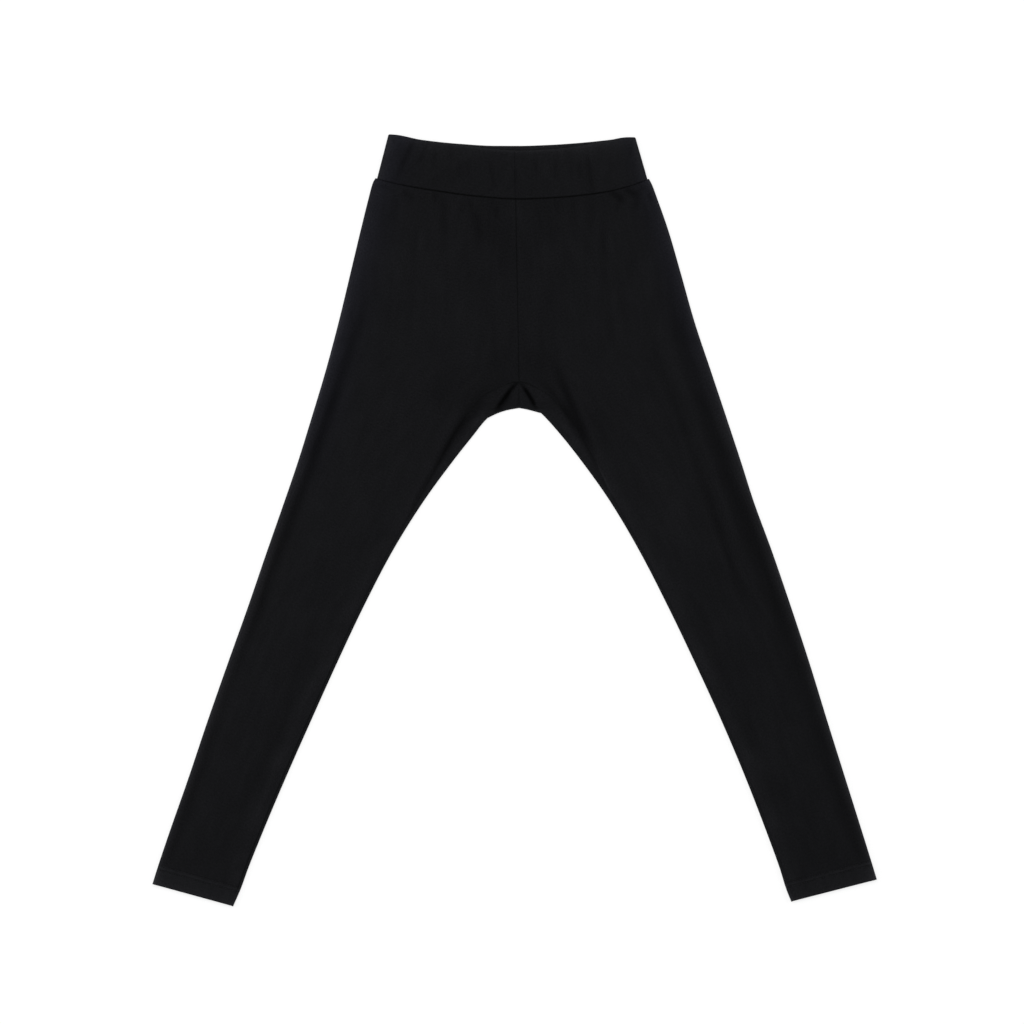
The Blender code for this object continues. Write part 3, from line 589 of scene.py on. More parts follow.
HEM_LIGHT_BEYOND = 0.6          # it begins this far above the upper row of thread
HEM_LIGHT_STEP = 1.6            # and grows over this length
HEM_RIM = (0.36, 6.0)           # painted sheen at the hem's edge, and its reach
HEM_CORNER = (0.35, 12.0)       # the same at the hem's corners


class TopLight(NamedTuple):
    """Painted sheen below the waistband's top edge: a broad part and a narrow one."""
    broad: float
    broad_reach: float
    narrow: float
    narrow_reach: float


TOP_LIGHT_MIDDLE = TopLight(0.16, 8.0, 1.20, 1.5)
TOP_LIGHT_SIDE = TopLight(0.88, 9.5, 0.35, 1.5)
TOP_LIGHT_SIDE_X = 120.0  # distance from the middle at which it is as at the side
SIDE_LIGHT = {"right": (1.00, 6.5), "left": (0.75, 5.0)}  # painted sheen at the side folds, and its reach
INNER_PAINTED_SHEEN = 0.45          # share of the top edge's painted sheen that the inner layer has
CORNER_PAINTED_SHEEN = 0.3          # share of the weaker painted sheen that adds to the stronger one
INSIDE_LIGHT = 1.35       # painted lightness of the inner layer
INSIDE_LIGHT_FROM = 1.25  # complete this many walls in from the outer face


class EdgeLook(NamedTuple):
    """Cloth beside a leg's outer fold at one level: a painted sheen on the rim and the trough inside
    it.

    rim is how much lighter the cloth is painted at the fold, as painted sheen, and reach is how far
    that runs in.
    trough is the inset of the trough's middle, near and far are its widths toward the fold and away
    from it, and shade is how much darker it is painted there, as painted shade. tone is the lightness
    of the cloth round it.
    """
    down: float
    rim: float
    reach: float
    trough: float
    near: float
    far: float
    shade: float
    tone: float


EDGE_LOOKS = {
    "right": table(
        EdgeLook,
        (60.0, 1.30, 10.0, 25.0, 10.0, 16.0, 0.00, 0.98),
        (120.0, 1.15, 10.0, 25.0, 10.0, 14.0, 0.00, 1.03),
        (160.0, 1.05, 9.0, 25.0, 10.0, 14.0, 0.02, 1.10),
        (200.0, 1.50, 7.5, 25.0, 10.0, 12.0, 0.14, 1.08),
        (260.0, 2.25, 5.0, 21.0, 8.0, 12.0, 0.33, 1.09),
        (330.0, 1.80, 4.5, 18.0, 8.0, 12.0, 0.42, 1.11),
        (450.0, 1.55, 4.8, 14.5, 6.5, 13.0, 0.36, 1.11),
        (520.0, 1.40, 4.8, 13.5, 6.5, 12.0, 0.34, 1.10),
        (590.0, 1.40, 4.4, 13.0, 6.0, 12.0, 0.31, 1.10),
        (640.0, 1.35, 4.8, 12.0, 6.0, 12.0, 0.21, 1.12),
        (700.0, 1.30, 4.8, 11.5, 6.5, 12.0, 0.15, 1.10),
        (830.0, 1.20, 4.3, 10.5, 6.5, 11.0, 0.18, 1.03),
        (900.0, 1.10, 3.8, 10.0, 7.0, 10.0, 0.06, 1.06),
    ),
    "left": table(
        EdgeLook,
        (60.0, 1.45, 5.5, 19.0, 9.0, 18.0, 0.00, 0.96),
        (155.0, 1.15, 5.5, 19.0, 9.0, 18.0, 0.02, 1.05),
        (230.0, 1.50, 4.5, 20.0, 9.0, 18.0, 0.20, 1.05),
        (300.0, 1.50, 5.2, 20.0, 9.0, 18.0, 0.24, 1.02),
        (375.0, 1.80, 4.8, 20.0, 11.0, 19.0, 0.31, 1.02),
        (450.0, 1.60, 4.0, 17.5, 11.5, 20.0, 0.29, 0.97),
        (520.0, 1.50, 4.2, 16.0, 11.0, 20.0, 0.30, 0.98),
        (595.0, 1.60, 3.8, 14.0, 8.5, 20.0, 0.27, 0.96),
        (670.0, 1.60, 4.2, 13.0, 8.0, 20.0, 0.20, 0.95),
        (815.0, 1.55, 4.2, 12.0, 8.0, 16.0, 0.20, 0.93),
        (860.0, 1.50, 3.8, 11.0, 8.5, 12.0, 0.16, 0.89),
        (900.0, 1.30, 4.5, 10.0, 8.5, 10.0, 0.05, 0.96),
    ),
}
BLUE_LEG = {  # bluer by this share, its reach, and the levels where it fades
    "right": (0.18, 32.0, 300.0, 500.0),
    "left": (0.18, 22.0, 190.0, 400.0),
}
BLUE_BAND = {"right": (0.18, 30.0), "left": (0.13, 14.0)}  # the same at the waistband's ends
FOLD_GREY = 0.7    # the fold itself is less blue by this share
FOLD_GREY_REACH = 6.0
TONE_REACH = 80.0  # the tone beside the outer fold reaches about this far in

# Thread of the hems' twin-needle stitching
STITCH_LENGTH = 2.5
STITCH_PITCH = 3.0
STITCH_GAP = 0.12       # share of the pitch before a stitch
STITCH_GAP_MORE = 0.05  # and this much more by chance
STITCH_SEED = 7
THREAD_RADIUS = 0.19
THREAD_SIDES = 6
THREAD_LOWEST = 0.02    # the thread stays this far above the surface
TANGENT_STEP = 0.2      # short step along a row of thread that gives its direction
FLATTEST_NORMAL = 0.3   # nearer the middle of the wall than this, thread faces sideways


class ThreadRing(NamedTuple):
    """A ring of points round a stitch."""
    share: float              # of the stitch's length
    size: float               # of the thread's radius
    lift: float               # above the cloth


STITCH_RINGS = table(
    ThreadRing,
    (0.0, 0.25, -0.18),
    (0.18, 0.85, 0.0),
    (0.5, 1.0, 0.08),
    (0.82, 0.85, 0.0),
    (1.0, 0.25, -0.18),
)


# Materials
class Mottle(NamedTuple):
    """Uneven tone of the cloth: its size across and along the knit, and how far it varies."""
    across: float
    along: float
    varies: float
    scale: float = 1.0
    roughness: float = 0.5


CLOTH_COLOUR = (0.00485, 0.00492, 0.00555)
CLOTH_ROUGHNESS = 0.78
ROUGHER_GRAIN = 0.16       # added to that by the grain
THREAD_COLOUR = (0.0080, 0.0081, 0.0092)
THREAD_TWIST = 2600.0      # scale of the noise that stands for the twist
THREAD_VARIES = 0.5
THREAD_BUMP = (0.3, 0.05)  # strength, and depth in millimetres
GRAIN = Mottle(1.0, 1.25, 1.60, scale=0.62, roughness=0.6)
STREAKS = Mottle(9.0, 42.0, 0.34)
PATCHES = Mottle(38.0, 60.0, 0.34)
HALF_WALE = 0.45
COURSE = 0.75
COURSE_SLANT = 0.9         # the courses' loops rise and dip across each wale
COURSE_RELIEF = 0.35
WALE_RELIEF = 2.2
GRAIN_RELIEF = 1.1
KNIT_BUMP = (0.35, 0.12)   # strength, and depth in millimetres

# Floor and camera, in metres but where it says otherwise
FLOOR_SIZE = 12.0
FLOOR_DROP = 0.2             # millimetres below the surface that the part lies on
FLOOR_TONE = 0.22
FLOOR_VARIES = 0.01
FLOOR_PATCHES = 3.0          # scale of the noise that varies it
FLOOR_GLOW = 0.71
WORLD_LIGHT = 0.75
FRAME_PIXELS = 1024
PIXEL = 1.225                # millimetres of the subject to a pixel
FRAME_CENTRE = (-3.6, 11.1)  # world x and y at the frame's centre, in millimetres
PANEL_LEVEL = 0.004
CAMERA_HEIGHT = 6.0          # above that level
CAMERA_REACH = 50.0
SENSOR = 36.0                # millimetres


class Softbox(NamedTuple):
    """A square lamp: its place and size in metres and its power in watts."""
    name: str
    place: tuple
    size: float
    watts: float


SOFTBOXES = (
    Softbox("softbox_above", (-0.5, 0.9, 3.0), 2.4, 60.0),
    Softbox("softbox_left", (-2.6, 0.3, 1.2), 1.6, 22.0),
    Softbox("softbox_right", (2.6, 0.3, 1.2), 1.6, 22.0),
)


def mix(a, b, share):
    """Value a share of the way from a to b."""
    return a + (b - a) * share


def spread(first, last, count):
    """Evenly spaced values from first to last, both included."""
    return [mix(first, last, i / count) for i in range(count + 1)]


def fade(value):
    """Smooth step from 0 to 1 as value goes from 0 to 1."""
    t = np.clip(value, 0.0, 1.0)
    return t * t * (3.0 - 2.0 * t)


def ramp(value, first, last):
    """Smooth step from 0 to 1 as value goes from first to last."""
    return fade((value - first) / (last - first))


def unit(vector):
    """Vector of length one."""
    return vector / np.linalg.norm(vector)


def smooth_curve(at, to):
    """Smooth curve through points, with no overshoot between them."""
    at, to = np.array(at, float), np.array(to, float)
    gap = np.diff(at)
    slope = np.diff(to) / gap
    tangent = np.concatenate(([slope[0]], np.zeros(len(at) - 2), [slope[-1]]))
    for i in range(1, len(at) - 1):
        if slope[i - 1] * slope[i] > 0.0:
            before = 2.0 * gap[i] + gap[i - 1]
            after = gap[i] + 2.0 * gap[i - 1]
            tangent[i] = (before + after) / (before / slope[i - 1] + after / slope[i])

    def value_at(where):
        i = np.clip(np.searchsorted(at, where) - 1, 0, len(gap) - 1)
        t = (where - at[i]) / gap[i]
        inside = np.clip(t, 0.0, 1.0)
        rise = gap[i] * (tangent[i] * (1.0 - inside) - tangent[i + 1] * inside)
        value = mix(to[i], to[i + 1], fade(inside)) + rise * inside * (1.0 - inside)
        return value + slope[i] * gap[i] * (t - inside)

    return value_at


def curve(rows, key, value):
    """Smooth curve through two columns of a table."""
    return smooth_curve([getattr(row, key) for row in rows], [getattr(row, value) for row in rows])


WAIST_CURVE = {side: curve(WAIST_SEAM, "x", side) for side in ("front", "back")}
TOP_CURVE = {side: curve(TOP_EDGE, "x", side) for side in ("front", "back")}
OUTER_CURVE = {side: curve(OUTER_EDGE, "down", side) for side in ("right", "left")}
INNER_CURVE = {side: curve(INNER_EDGE, "down", side) for side in ("right", "left")}
INSEAM_CURVE = {side: curve(INNER_EDGE, "down", side + "_inseam") for side in ("right", "left")}
PROFILE_CURVE = curve(OUTER_PROFILE, "inset", "rise")
EDGE_CURVES = {
    side: {key: curve(looks, "down", key) for key in EdgeLook._fields[1:]}
    for side, looks in EDGE_LOOKS.items()
}


def edge_look(leg, row):
    """How the cloth beside the outer fold looks in a row."""
    down = row.outer[1]
    return EdgeLook(down, *(EDGE_CURVES[leg.side][key](down) for key in EdgeLook._fields[1:]))


def outer_trough(look, inset):
    """Painted shade of the trough beside the outer fold, at distances in from the fold."""
    off = inset - look.trough
    away = off / np.where(off < 0.0, look.near, look.far)
    return look.shade * np.clip(1.0 - away ** 2, 0.0, 1.0) ** 2


def creases_at(plan, creases):
    """Depth of the creases at plan points, and their painted shade."""
    depth, shade = np.zeros(len(plan)), np.zeros(len(plan))
    for crease in creases:
        path = np.array(crease.path, float)
        low, high = path.min(0) - crease.width / 2, path.max(0) + crease.width / 2
        near = np.flatnonzero(((plan > low) & (plan < high)).all(1))
        points = plan[near]
        runs = np.diff(path, axis=0)
        lengths = np.linalg.norm(runs, axis=1)
        reached = np.concatenate(([0.0], np.cumsum(lengths)))
        nearest, along = np.full(len(near), np.inf), np.zeros(len(near))
        for start, run, length, done in zip(path, runs, lengths, reached):
            share = np.clip((points - start) @ run / length ** 2, 0.0, 1.0)
            away = np.linalg.norm(points - start - share[:, None] * run, axis=1)
            closer = away < nearest
            nearest[closer] = away[closer]
            along[closer] = (done + share[closer] * length) / reached[-1]
        across = np.clip(1.0 - (2.0 * nearest / crease.width) ** 2, 0.0, 1.0) ** 2
        run_out = min(CREASE_END_SHARE, CREASE_END / reached[-1])
        ends = fade(along / run_out) * fade((1.0 - along) / run_out)
        depth[near] += crease.depth * across * ends
        shade[near] += crease.shade * across * ends
    return depth, shade


def groove(distance, size, strength=1.0):
    """Depth of a seam's groove, and its painted shade, at a distance from the seam."""
    width, depth, shade = size
    sink = np.clip(1.0 - distance / width, 0.0, 1.0) ** 2
    line = np.exp(-(distance / (GROOVE_SHADE * width)) ** 2)
    return depth * sink * strength, shade * line * strength


class Row(NamedTuple):
    """One line across a leg, from its inner line to its outer fold."""
    zone: str                 # hip, crotch, fold or shank
    share: float              # 0 to 1 along its zone
    outer: np.ndarray
    inner: np.ndarray
    inner_back: np.ndarray
    inward: np.ndarray
    from_hem: float
    hip_share: float = 1.0
    recess: float = 0.0
    inseam: float = 0.0
    fold_roll: float = 0.0    # radius of the inner fold above the hem, 0 where there is none

    @property
    def in_hem(self):
        """1 on the turned-up hem, 0 above it."""
        return fade((HEM_DEPTH + HEM_STEP - self.from_hem) / HEM_STEP)

    @property
    def above_hem(self):
        """0 on the hem and 1 well above it, where creases reach their full depth."""
        return fade((self.from_hem - HEM_DEPTH) / CREASE_HEM_FADE)

    @property
    def outer_roll(self):
        """Radius of the outer fold."""
        waist = mix(WAIST_ROLL, OUTER_ROLL, fade(self.hip_share / WAIST_ROLL_SHARE))
        return mix(waist, HEM_ROLL, self.in_hem)

    @property
    def inner_roll(self):
        """Radius of the inner fold."""
        return mix(self.fold_roll, INNER_HEM_ROLL, self.in_hem) if self.fold_roll else 0.0

    @property
    def toward(self):
        """Plan direction from the outer fold to the inner line."""
        return unit(self.inner - self.outer)

    @property
    def outer_start(self):
        """Plan point where the panels leave the outer fold."""
        return self.outer + self.outer_roll * self.toward

    @property
    def inner_start(self):
        """Plan point where the front leaves the inner fold or the centre line."""
        return self.inner + self.inner_roll * self.inward

    @property
    def back_start(self):
        """The same for the back."""
        return self.inner_back + self.inner_roll * self.inward

    @property
    def width(self):
        """Width of the front from the inner fold or centre line to the outer fold."""
        return np.linalg.norm(self.outer_start - self.inner_start)

    def place(self, along):
        """Plan points of the front at distances from the inner fold or the centre line."""
        run = self.outer_start - self.inner_start
        return self.inner_start + np.atleast_1d(along)[:, None] * run / self.width


def make_row(leg, zone, share, down, inner, **rest):
    """A row from a level of the outer fold. Unless told otherwise, its back ends with its front."""
    values = {
        "outer": np.array((OUTER_CURVE[leg.side](down), down)),
        "inner_back": inner,
        "inward": np.array((float(leg.sign), 0.0)),
        "from_hem": leg.hem_outer - down,
    }
    return Row(zone=zone, share=share, inner=inner, **{**values, **rest})


def hip_row(leg, share):
    """A row between the waist seam and the crotch point, which ends on the rise seams."""
    down = mix(OUTER_EDGE[0].down, leg.outer_at_crotch, share)
    x = mix(CENTRE_X_WAIST, CENTRE_X_CROTCH, share)
    ends = []
    for side in ("front", "back"):
        seam_down = WAIST_CURVE[side](CENTRE_X_WAIST) + SEAM_GAP / 2
        ends.append(np.array((x, mix(seam_down, CROTCH_DOWN, share))))
    return make_row(leg, "hip", share, down, ends[0], inner_back=ends[1], hip_share=share)


def crotch_row(leg, share):
    """A row between the crotch point and the fold below it, which ends on the back's seam."""
    lowest = leg.crotch_edge[0]
    down = mix(leg.outer_at_crotch, leg.outer_at_fold, share)
    inner = np.array((CENTRE_X_CROTCH, mix(CROTCH_DOWN, lowest.down, share)))
    inseam = lowest.inseam * share ** INSEAM_ARC
    return make_row(leg, "crotch", share, down, inner, recess=lowest.recess * share, inseam=inseam)


def fold_row(leg, share):
    """A row along the fold at the bottom of the crotch, from the centre to the leg."""
    edge = {key: curve(leg.crotch_edge, "share", key) for key in CrotchEdge._fields[1:]}
    inner, ahead = (np.array((edge["x"](at), edge["down"](at))) for at in (share, share + SHARE_STEP))
    along = unit(ahead - inner)
    square = np.array((along[1] * leg.sign, -abs(along[0])))
    return make_row(
        leg, "fold", share, mix(leg.outer_at_fold, leg.outer_at_fold_end, share), inner,
        inward=unit(mix(UP_THE_PLAN, square, fade(share / CROTCH_TURN))),
        recess=edge["recess"](share),
        inseam=edge["inseam"](share),
        fold_roll=edge["height"](share) / 2.0,
    )


def shank_row(leg, from_hem):
    """A row down the leg, at a distance up the outer fold from the hem."""
    share = 1.0 - from_hem / (leg.hem_outer - leg.outer_at_fold_end)
    inner_down = mix(leg.crotch_edge[-1].down, leg.hem_inner, share)
    inner, ahead = (
        np.array((INNER_CURVE[leg.side](down), down))
        for down in (inner_down, inner_down + DOWN_STEP)
    )
    along = unit(ahead - inner)
    inseam = INSEAM_CURVE[leg.side](inner_down)
    crotch_roll = leg.crotch_edge[-1].height / 2.0
    return make_row(
        leg, "shank", share, leg.hem_outer - from_hem, inner,
        inward=np.array((leg.sign * along[1], -leg.sign * along[0])),
        from_hem=from_hem,
        recess=mix(INNER_ROLL, inseam, RECESS_SHARE),
        inseam=inseam,
        fold_roll=mix(crotch_roll, INNER_ROLL, fade(share / CROTCH_ROLL_SHARE)),
    )


def leg_rows(leg):
    """Every row of a leg, from the waist seam to the hem."""
    hip_length = leg.outer_at_crotch - OUTER_EDGE[0].down
    first = WAIST_INSETS[-1] / hip_length
    shares = [inset / hip_length for inset in WAIST_INSETS]
    shares += spread(first, 1.0, round((hip_length - WAIST_INSETS[-1]) / HIP_STEP))[1:]
    rows = [hip_row(leg, share) for share in shares]
    rows += [crotch_row(leg, share) for share in spread(0.0, 1.0, CROTCH_ROWS)[1:-1]]
    rows += [fold_row(leg, share) for share in spread(0.0, 1.0, FOLD_ROWS)]
    length = leg.hem_outer - leg.outer_at_fold_end
    low, high = STITCH_BAND
    heights = spread(length, high, round((length - high) / SHANK_STEP))[1:]
    heights += spread(high, low, round((high - low) / STITCH_STEP))[1:]
    heights += spread(low, HEM_END[-1], HEM_ROWS)[1:]
    heights += HEM_END[-2::-1]
    return rows + [shank_row(leg, height) for height in heights]


def sag(row, waist_row, plan, side):
    """Plan points lowered to follow the waist seam's curve, less and less down the hips."""
    if row.hip_share >= 1.0:
        return plan
    share = (plan[:, 0] - row.inner[0]) / (row.outer[0] - row.inner[0])
    waist_x = mix(waist_row.inner[0], waist_row.outer[0], share)
    waist_inner = waist_row.inner if side == "front" else waist_row.inner_back
    line_down = mix(waist_inner[1], waist_row.outer[1], share)
    seam_down = WAIST_CURVE[side](waist_x) + SEAM_GAP / 2
    lower = (seam_down - line_down) * (1.0 - row.hip_share) ** 2
    return plan + np.stack((np.zeros(len(plan)), lower), 1)


def waist_strength(inset):
    """How deep the waist seam's groove is and how dark its painted shade is, at a distance from the
    outer fold.
    """
    return mix(WAIST_GROOVE_SIDE, 1.0, fade(inset / WAIST_GROOVE_FADE))


def wave(row):
    """Uneven ripple along the inner edge, from 0 to 1."""
    place = row.from_hem + RIPPLE_STRETCH * row.share if row.zone == "shank" else row.from_hem
    wander = RIPPLE_WANDER * math.sin(place / RIPPLE_WANDER_LENGTH)
    slow = math.sin(2.0 * math.pi * place / SLOW_RIPPLE + wander)
    quick = math.sin(2.0 * math.pi * place / QUICK_RIPPLE + QUICK_RIPPLE_LEAD)
    return 0.5 + SLOW_RIPPLE_SIZE * slow + QUICK_RIPPLE_SIZE * quick


def below_waist(row, waist_row, inset):
    """Distance below the waist seam of a hip row's points, at distances in from the outer fold."""
    at_outer = row.outer[1] - waist_row.outer[1]
    at_inner = row.inner[1] - waist_row.inner[1]
    return mix(at_outer, at_inner, np.clip(inset / row.width, 0.0, 1.0))


def front_columns(row, edge):
    """Distances along a row at which the front's points lie, from its seam to the outer fold."""
    inner_side = edge + np.array(SEAM_INSETS)
    outer_side = row.width + row.outer_roll - np.array(OUTER_INSETS)
    middle = spread(inner_side[-1], outer_side[0], MIDDLE_COLUMNS)[1:-1]
    return np.concatenate((inner_side, middle, outer_side))


def front_height(row, inset, from_seam):
    """Height of the front before its creases and seams."""
    rise = PROFILE_CURVE(np.minimum(inset, OUTER_PROFILE[-1].inset))
    trough = fade((row.hip_share - OUTER_TROUGH_SHARE) / OUTER_TROUGH_GROWTH)
    trough = trough * fade((row.from_hem - OUTER_TROUGH_END) / OUTER_TROUGH_FADE)
    rise = np.where(rise < 0.0, rise * trough, rise)
    waist = mix(WAIST_HEIGHT - PANEL_HEIGHT, 0.0, fade(row.hip_share / WAIST_RISE_SHARE))
    swell = mix(INSEAM_RISE, 0.0, fade(from_seam / INSEAM_SWELL)) if row.inner_roll else 0.0
    return PANEL_HEIGHT + rise + waist + HEM_RISE * row.in_hem + swell


def front_part(leg, row, waist_row, edge):
    """Front panel, from its rise seam or inseam to the outer fold."""
    along = front_columns(row, edge)
    inset, from_seam = row.width + row.outer_roll - along, along - edge
    plan = sag(row, waist_row, row.place(along), "front")
    depth, shade = creases_at(plan, LEG_CREASES)
    keep = row.above_hem
    look = edge_look(leg, row)
    trough_shade = outer_trough(look, inset)
    height = front_height(row, inset, from_seam) - (depth + TROUGH_DEPTH * trough_shade) * keep
    if row.zone == "hip":
        sink, dark = groove(from_seam, RISE_GROOVE)
    else:
        sink, dark = groove(from_seam, INSEAM_GROOVE, inseam_strength(leg, row, plan))
    height -= sink
    # Painted shade in the creases, the seam's groove and the outer trough.
    light = (1.0 - shade * keep) * (1.0 - dark) * (1.0 - trough_shade * keep)
    light *= mix(1.0, look.tone, np.exp(-inset / TONE_REACH))
    if row.zone == "shank":
        grown = keep * fade(row.share / RIPPLE_START)
        ripple = INSEAM_RIPPLE.at(from_seam) * grown
        height += RIPPLE_HEIGHT * ripple * wave(row)
        beside = sum(stripe.at(from_seam) for stripe in INSEAM_STRIPES[leg.side])
        light *= 1.0 + RIPPLE_LIGHT * ripple * wave(row) + beside * grown
    if row.zone == "hip":
        light *= 1.0 + RISE_STRIPE.at(from_seam) * (1.0 - row.hip_share) ** 2
        from_waist = below_waist(row, waist_row, inset)
        sink, dark = groove(from_waist, WAIST_GROOVE, waist_strength(inset))
        height -= sink
        light *= 1.0 - dark
    return np.column_stack((plan, height)), light, rim_light(look, inset)


def rim_light(look, inset):
    """Painted sheen: how much lighter the cloth is painted near the outer fold."""
    return look.rim * np.exp(-inset / look.reach)


def outer_part(leg, row, waist_row):
    """Outer fold, from the front over the edge to the back."""
    angle = np.array(spread(math.pi / 2, -math.pi / 2, ROLL_STEPS))
    plan = row.outer + row.outer_roll * (1.0 - np.cos(angle))[:, None] * row.toward
    plan = sag(row, waist_row, plan, "front")
    height = row.outer_roll * (1.0 + np.sin(angle))
    look = edge_look(leg, row)
    light = np.full(len(angle), look.tone)
    if row.zone == "hip":
        from_waist = below_waist(row, waist_row, 0.0)
        light *= 1.0 - groove(from_waist, WAIST_GROOVE, waist_strength(0.0))[1]
    return np.column_stack((plan, height)), light, rim_light(look, np.zeros(len(angle)))


def back_part(leg, row, waist_row):
    """Back panel, on the surface, from the outer fold to the inner line."""
    on_seam = row.zone in ("hip", "crotch")
    end = row.back_start + np.array((leg.sign * SEAM_GAP / 2 * on_seam, 0.0))
    length = np.linalg.norm(end - row.outer_start)
    away = np.array(spread(length, BACK_INSETS[-1], BACK_COLUMNS)[1:] + list(BACK_INSETS[-2::-1]))
    plan = end + away[:, None] * (row.outer_start - end) / length
    plan = sag(row, waist_row, plan, "back")
    depth, shade = creases_at(plan, BACK_CREASES)
    height = depth * row.above_hem
    # Painted shade in the back's creases and seam grooves.
    light = 1.0 - shade
    grooves = []
    if on_seam:
        grooves.append(groove(away, RISE_GROOVE))
    if row.zone == "hip":
        from_waist = below_waist(row, waist_row, length - away)
        grooves.append(groove(from_waist, WAIST_GROOVE, waist_strength(length - away)))
    for sink, dark in grooves:
        height += sink
        light *= 1.0 - dark
    return np.column_stack((plan, height)), light, np.zeros(len(away))


def inner_part(row):
    """Inner fold, from the back over the edge to the flap."""
    angle = np.array(spread(-math.pi / 2, math.pi / 2, ROLL_STEPS)[1:])
    plan = row.inner + row.inner_roll * (1.0 - np.cos(angle))[:, None] * row.inward
    height = row.inner_roll * (1.0 + np.sin(angle))
    # Painted sheen on the inner fold.
    rim = np.full(len(angle), INNER_RIM + INNER_RIM_RIPPLE * wave(row))
    return np.column_stack((plan, height)), np.ones(len(angle)), rim


def inseam_strength(leg, row, plan):
    """How deep the inseam's groove is and how dark its painted shade is: it shows most at the crotch
    point and down the right leg.
    """
    reach = np.where(plan[:, 0] < CROTCH_POINT[0], *INSEAM_REACH)
    off = np.linalg.norm(plan - CROTCH_POINT, axis=1) / reach
    shank = mix(INSEAM_SHANK[leg.side], INSEAM_ON_THIGH, ramp(row.from_hem, *INSEAM_THIGH))
    shank = shank * mix(INSEAM_ON_HEM, 1.0, ramp(row.from_hem, *INSEAM_ANKLE))
    return np.maximum(INSEAM_AT_CROTCH * np.exp(-off ** 2), shank)


def flap_part(leg, row, edge, edge_height):
    """Back panel's edge, folded forward: from the inner fold to the inseam."""
    seam = edge - SEAM_GAP
    recess = max(row.recess - row.inner_roll, RECESS_NEAREST * seam)
    recess = min(recess, RECESS_FURTHEST * seam)
    top = recess + min(RECESS_EDGE, CLIMB_SHARE * (seam - recess))
    ridge = edge_height + FLAP_RIDGE * fade(row.inseam / FLAP_RIDGE_WIDTH)
    closing = fade((row.share - RECESS_CLOSES) / RECESS_CLOSING)
    open_recess = {"crotch": 1.0, "fold": 1.0 - closing}.get(row.zone, 0.0)
    recess_height = mix(mix(2.0 * row.inner_roll, ridge, 0.5), RECESS_HEIGHT, open_recess)
    profile = smooth_curve(
        (0.0, recess, top, mix(top, seam, 0.5), seam),
        (row_start_height(leg, row, edge_height), recess_height, ridge, ridge, edge_height),
    )
    along = np.array(
        spread(0.0, recess, RECESS_COLUMNS)[1:]
        + spread(recess, top, CLIMB_COLUMNS)[1:]
        + spread(top, seam, FLAP_COLUMNS)[1:]
    )
    plan = row.place(along)
    _, dark = creases_at(plan, RECESS_CREASES)
    depth, shade = creases_at(plan, LEG_CREASES)
    near_seam = fade((seam - along) / FLAP_CREASE_END)
    height = profile(along) - FLAP_CREASES * depth * fade(seam / WIDE_FLAP) * near_seam
    sink, seam_dark = groove(seam - along, INSEAM_GROOVE, inseam_strength(leg, row, plan))
    height = height - sink * fade(seam / NARROW_FLAP)
    # Painted shade in the recess, the creases and the inseam's groove.
    light = (1.0 - (np.minimum(dark, RECESS_DARKEST) + shade)) * (1.0 - seam_dark)
    rim = flap_light(row, seam, along, open_recess)
    return np.column_stack((plan, height)), light, rim * (1.0 - open_recess)


def flap_light(row, seam, along, open_recess):
    """Painted sheen of the flap, which is softer and broader where the flap is wide."""
    strength = CROTCH_FLAP_LIGHT
    if row.zone == "shank":
        strength = mix(*SHANK_FLAP_LIGHT, ramp(row.from_hem, *KNEE))
    reach = FLAP_LIGHT_SHARE * seam + FLAP_LIGHT_REACH
    broad = strength * np.exp(-(along / reach) ** 2) * mix(FLAP_LIGHT_LEAST, 1.0, wave(row))
    narrow = FOLD_LIGHT * np.exp(-along / FOLD_LIGHT_REACH)
    wide = fade(row.inseam / WIDE_FLAP) * (1.0 - open_recess)
    return mix(narrow, broad, wide) + FLAP_PAINTED_SHEEN * fade((seam - along) / NARROW_FLAP)


def row_start_height(leg, row, edge_height):
    """Height of the cloth where the flap begins."""
    if row.inner_roll:
        return 2.0 * row.inner_roll
    return mix(edge_height, leg.crotch_edge[0].height, row.share)


def no_cloth(count):
    """Columns that a row leaves out."""
    return np.full((count, 3), np.nan), np.full(count, HIDDEN_LIGHT), np.zeros(count)


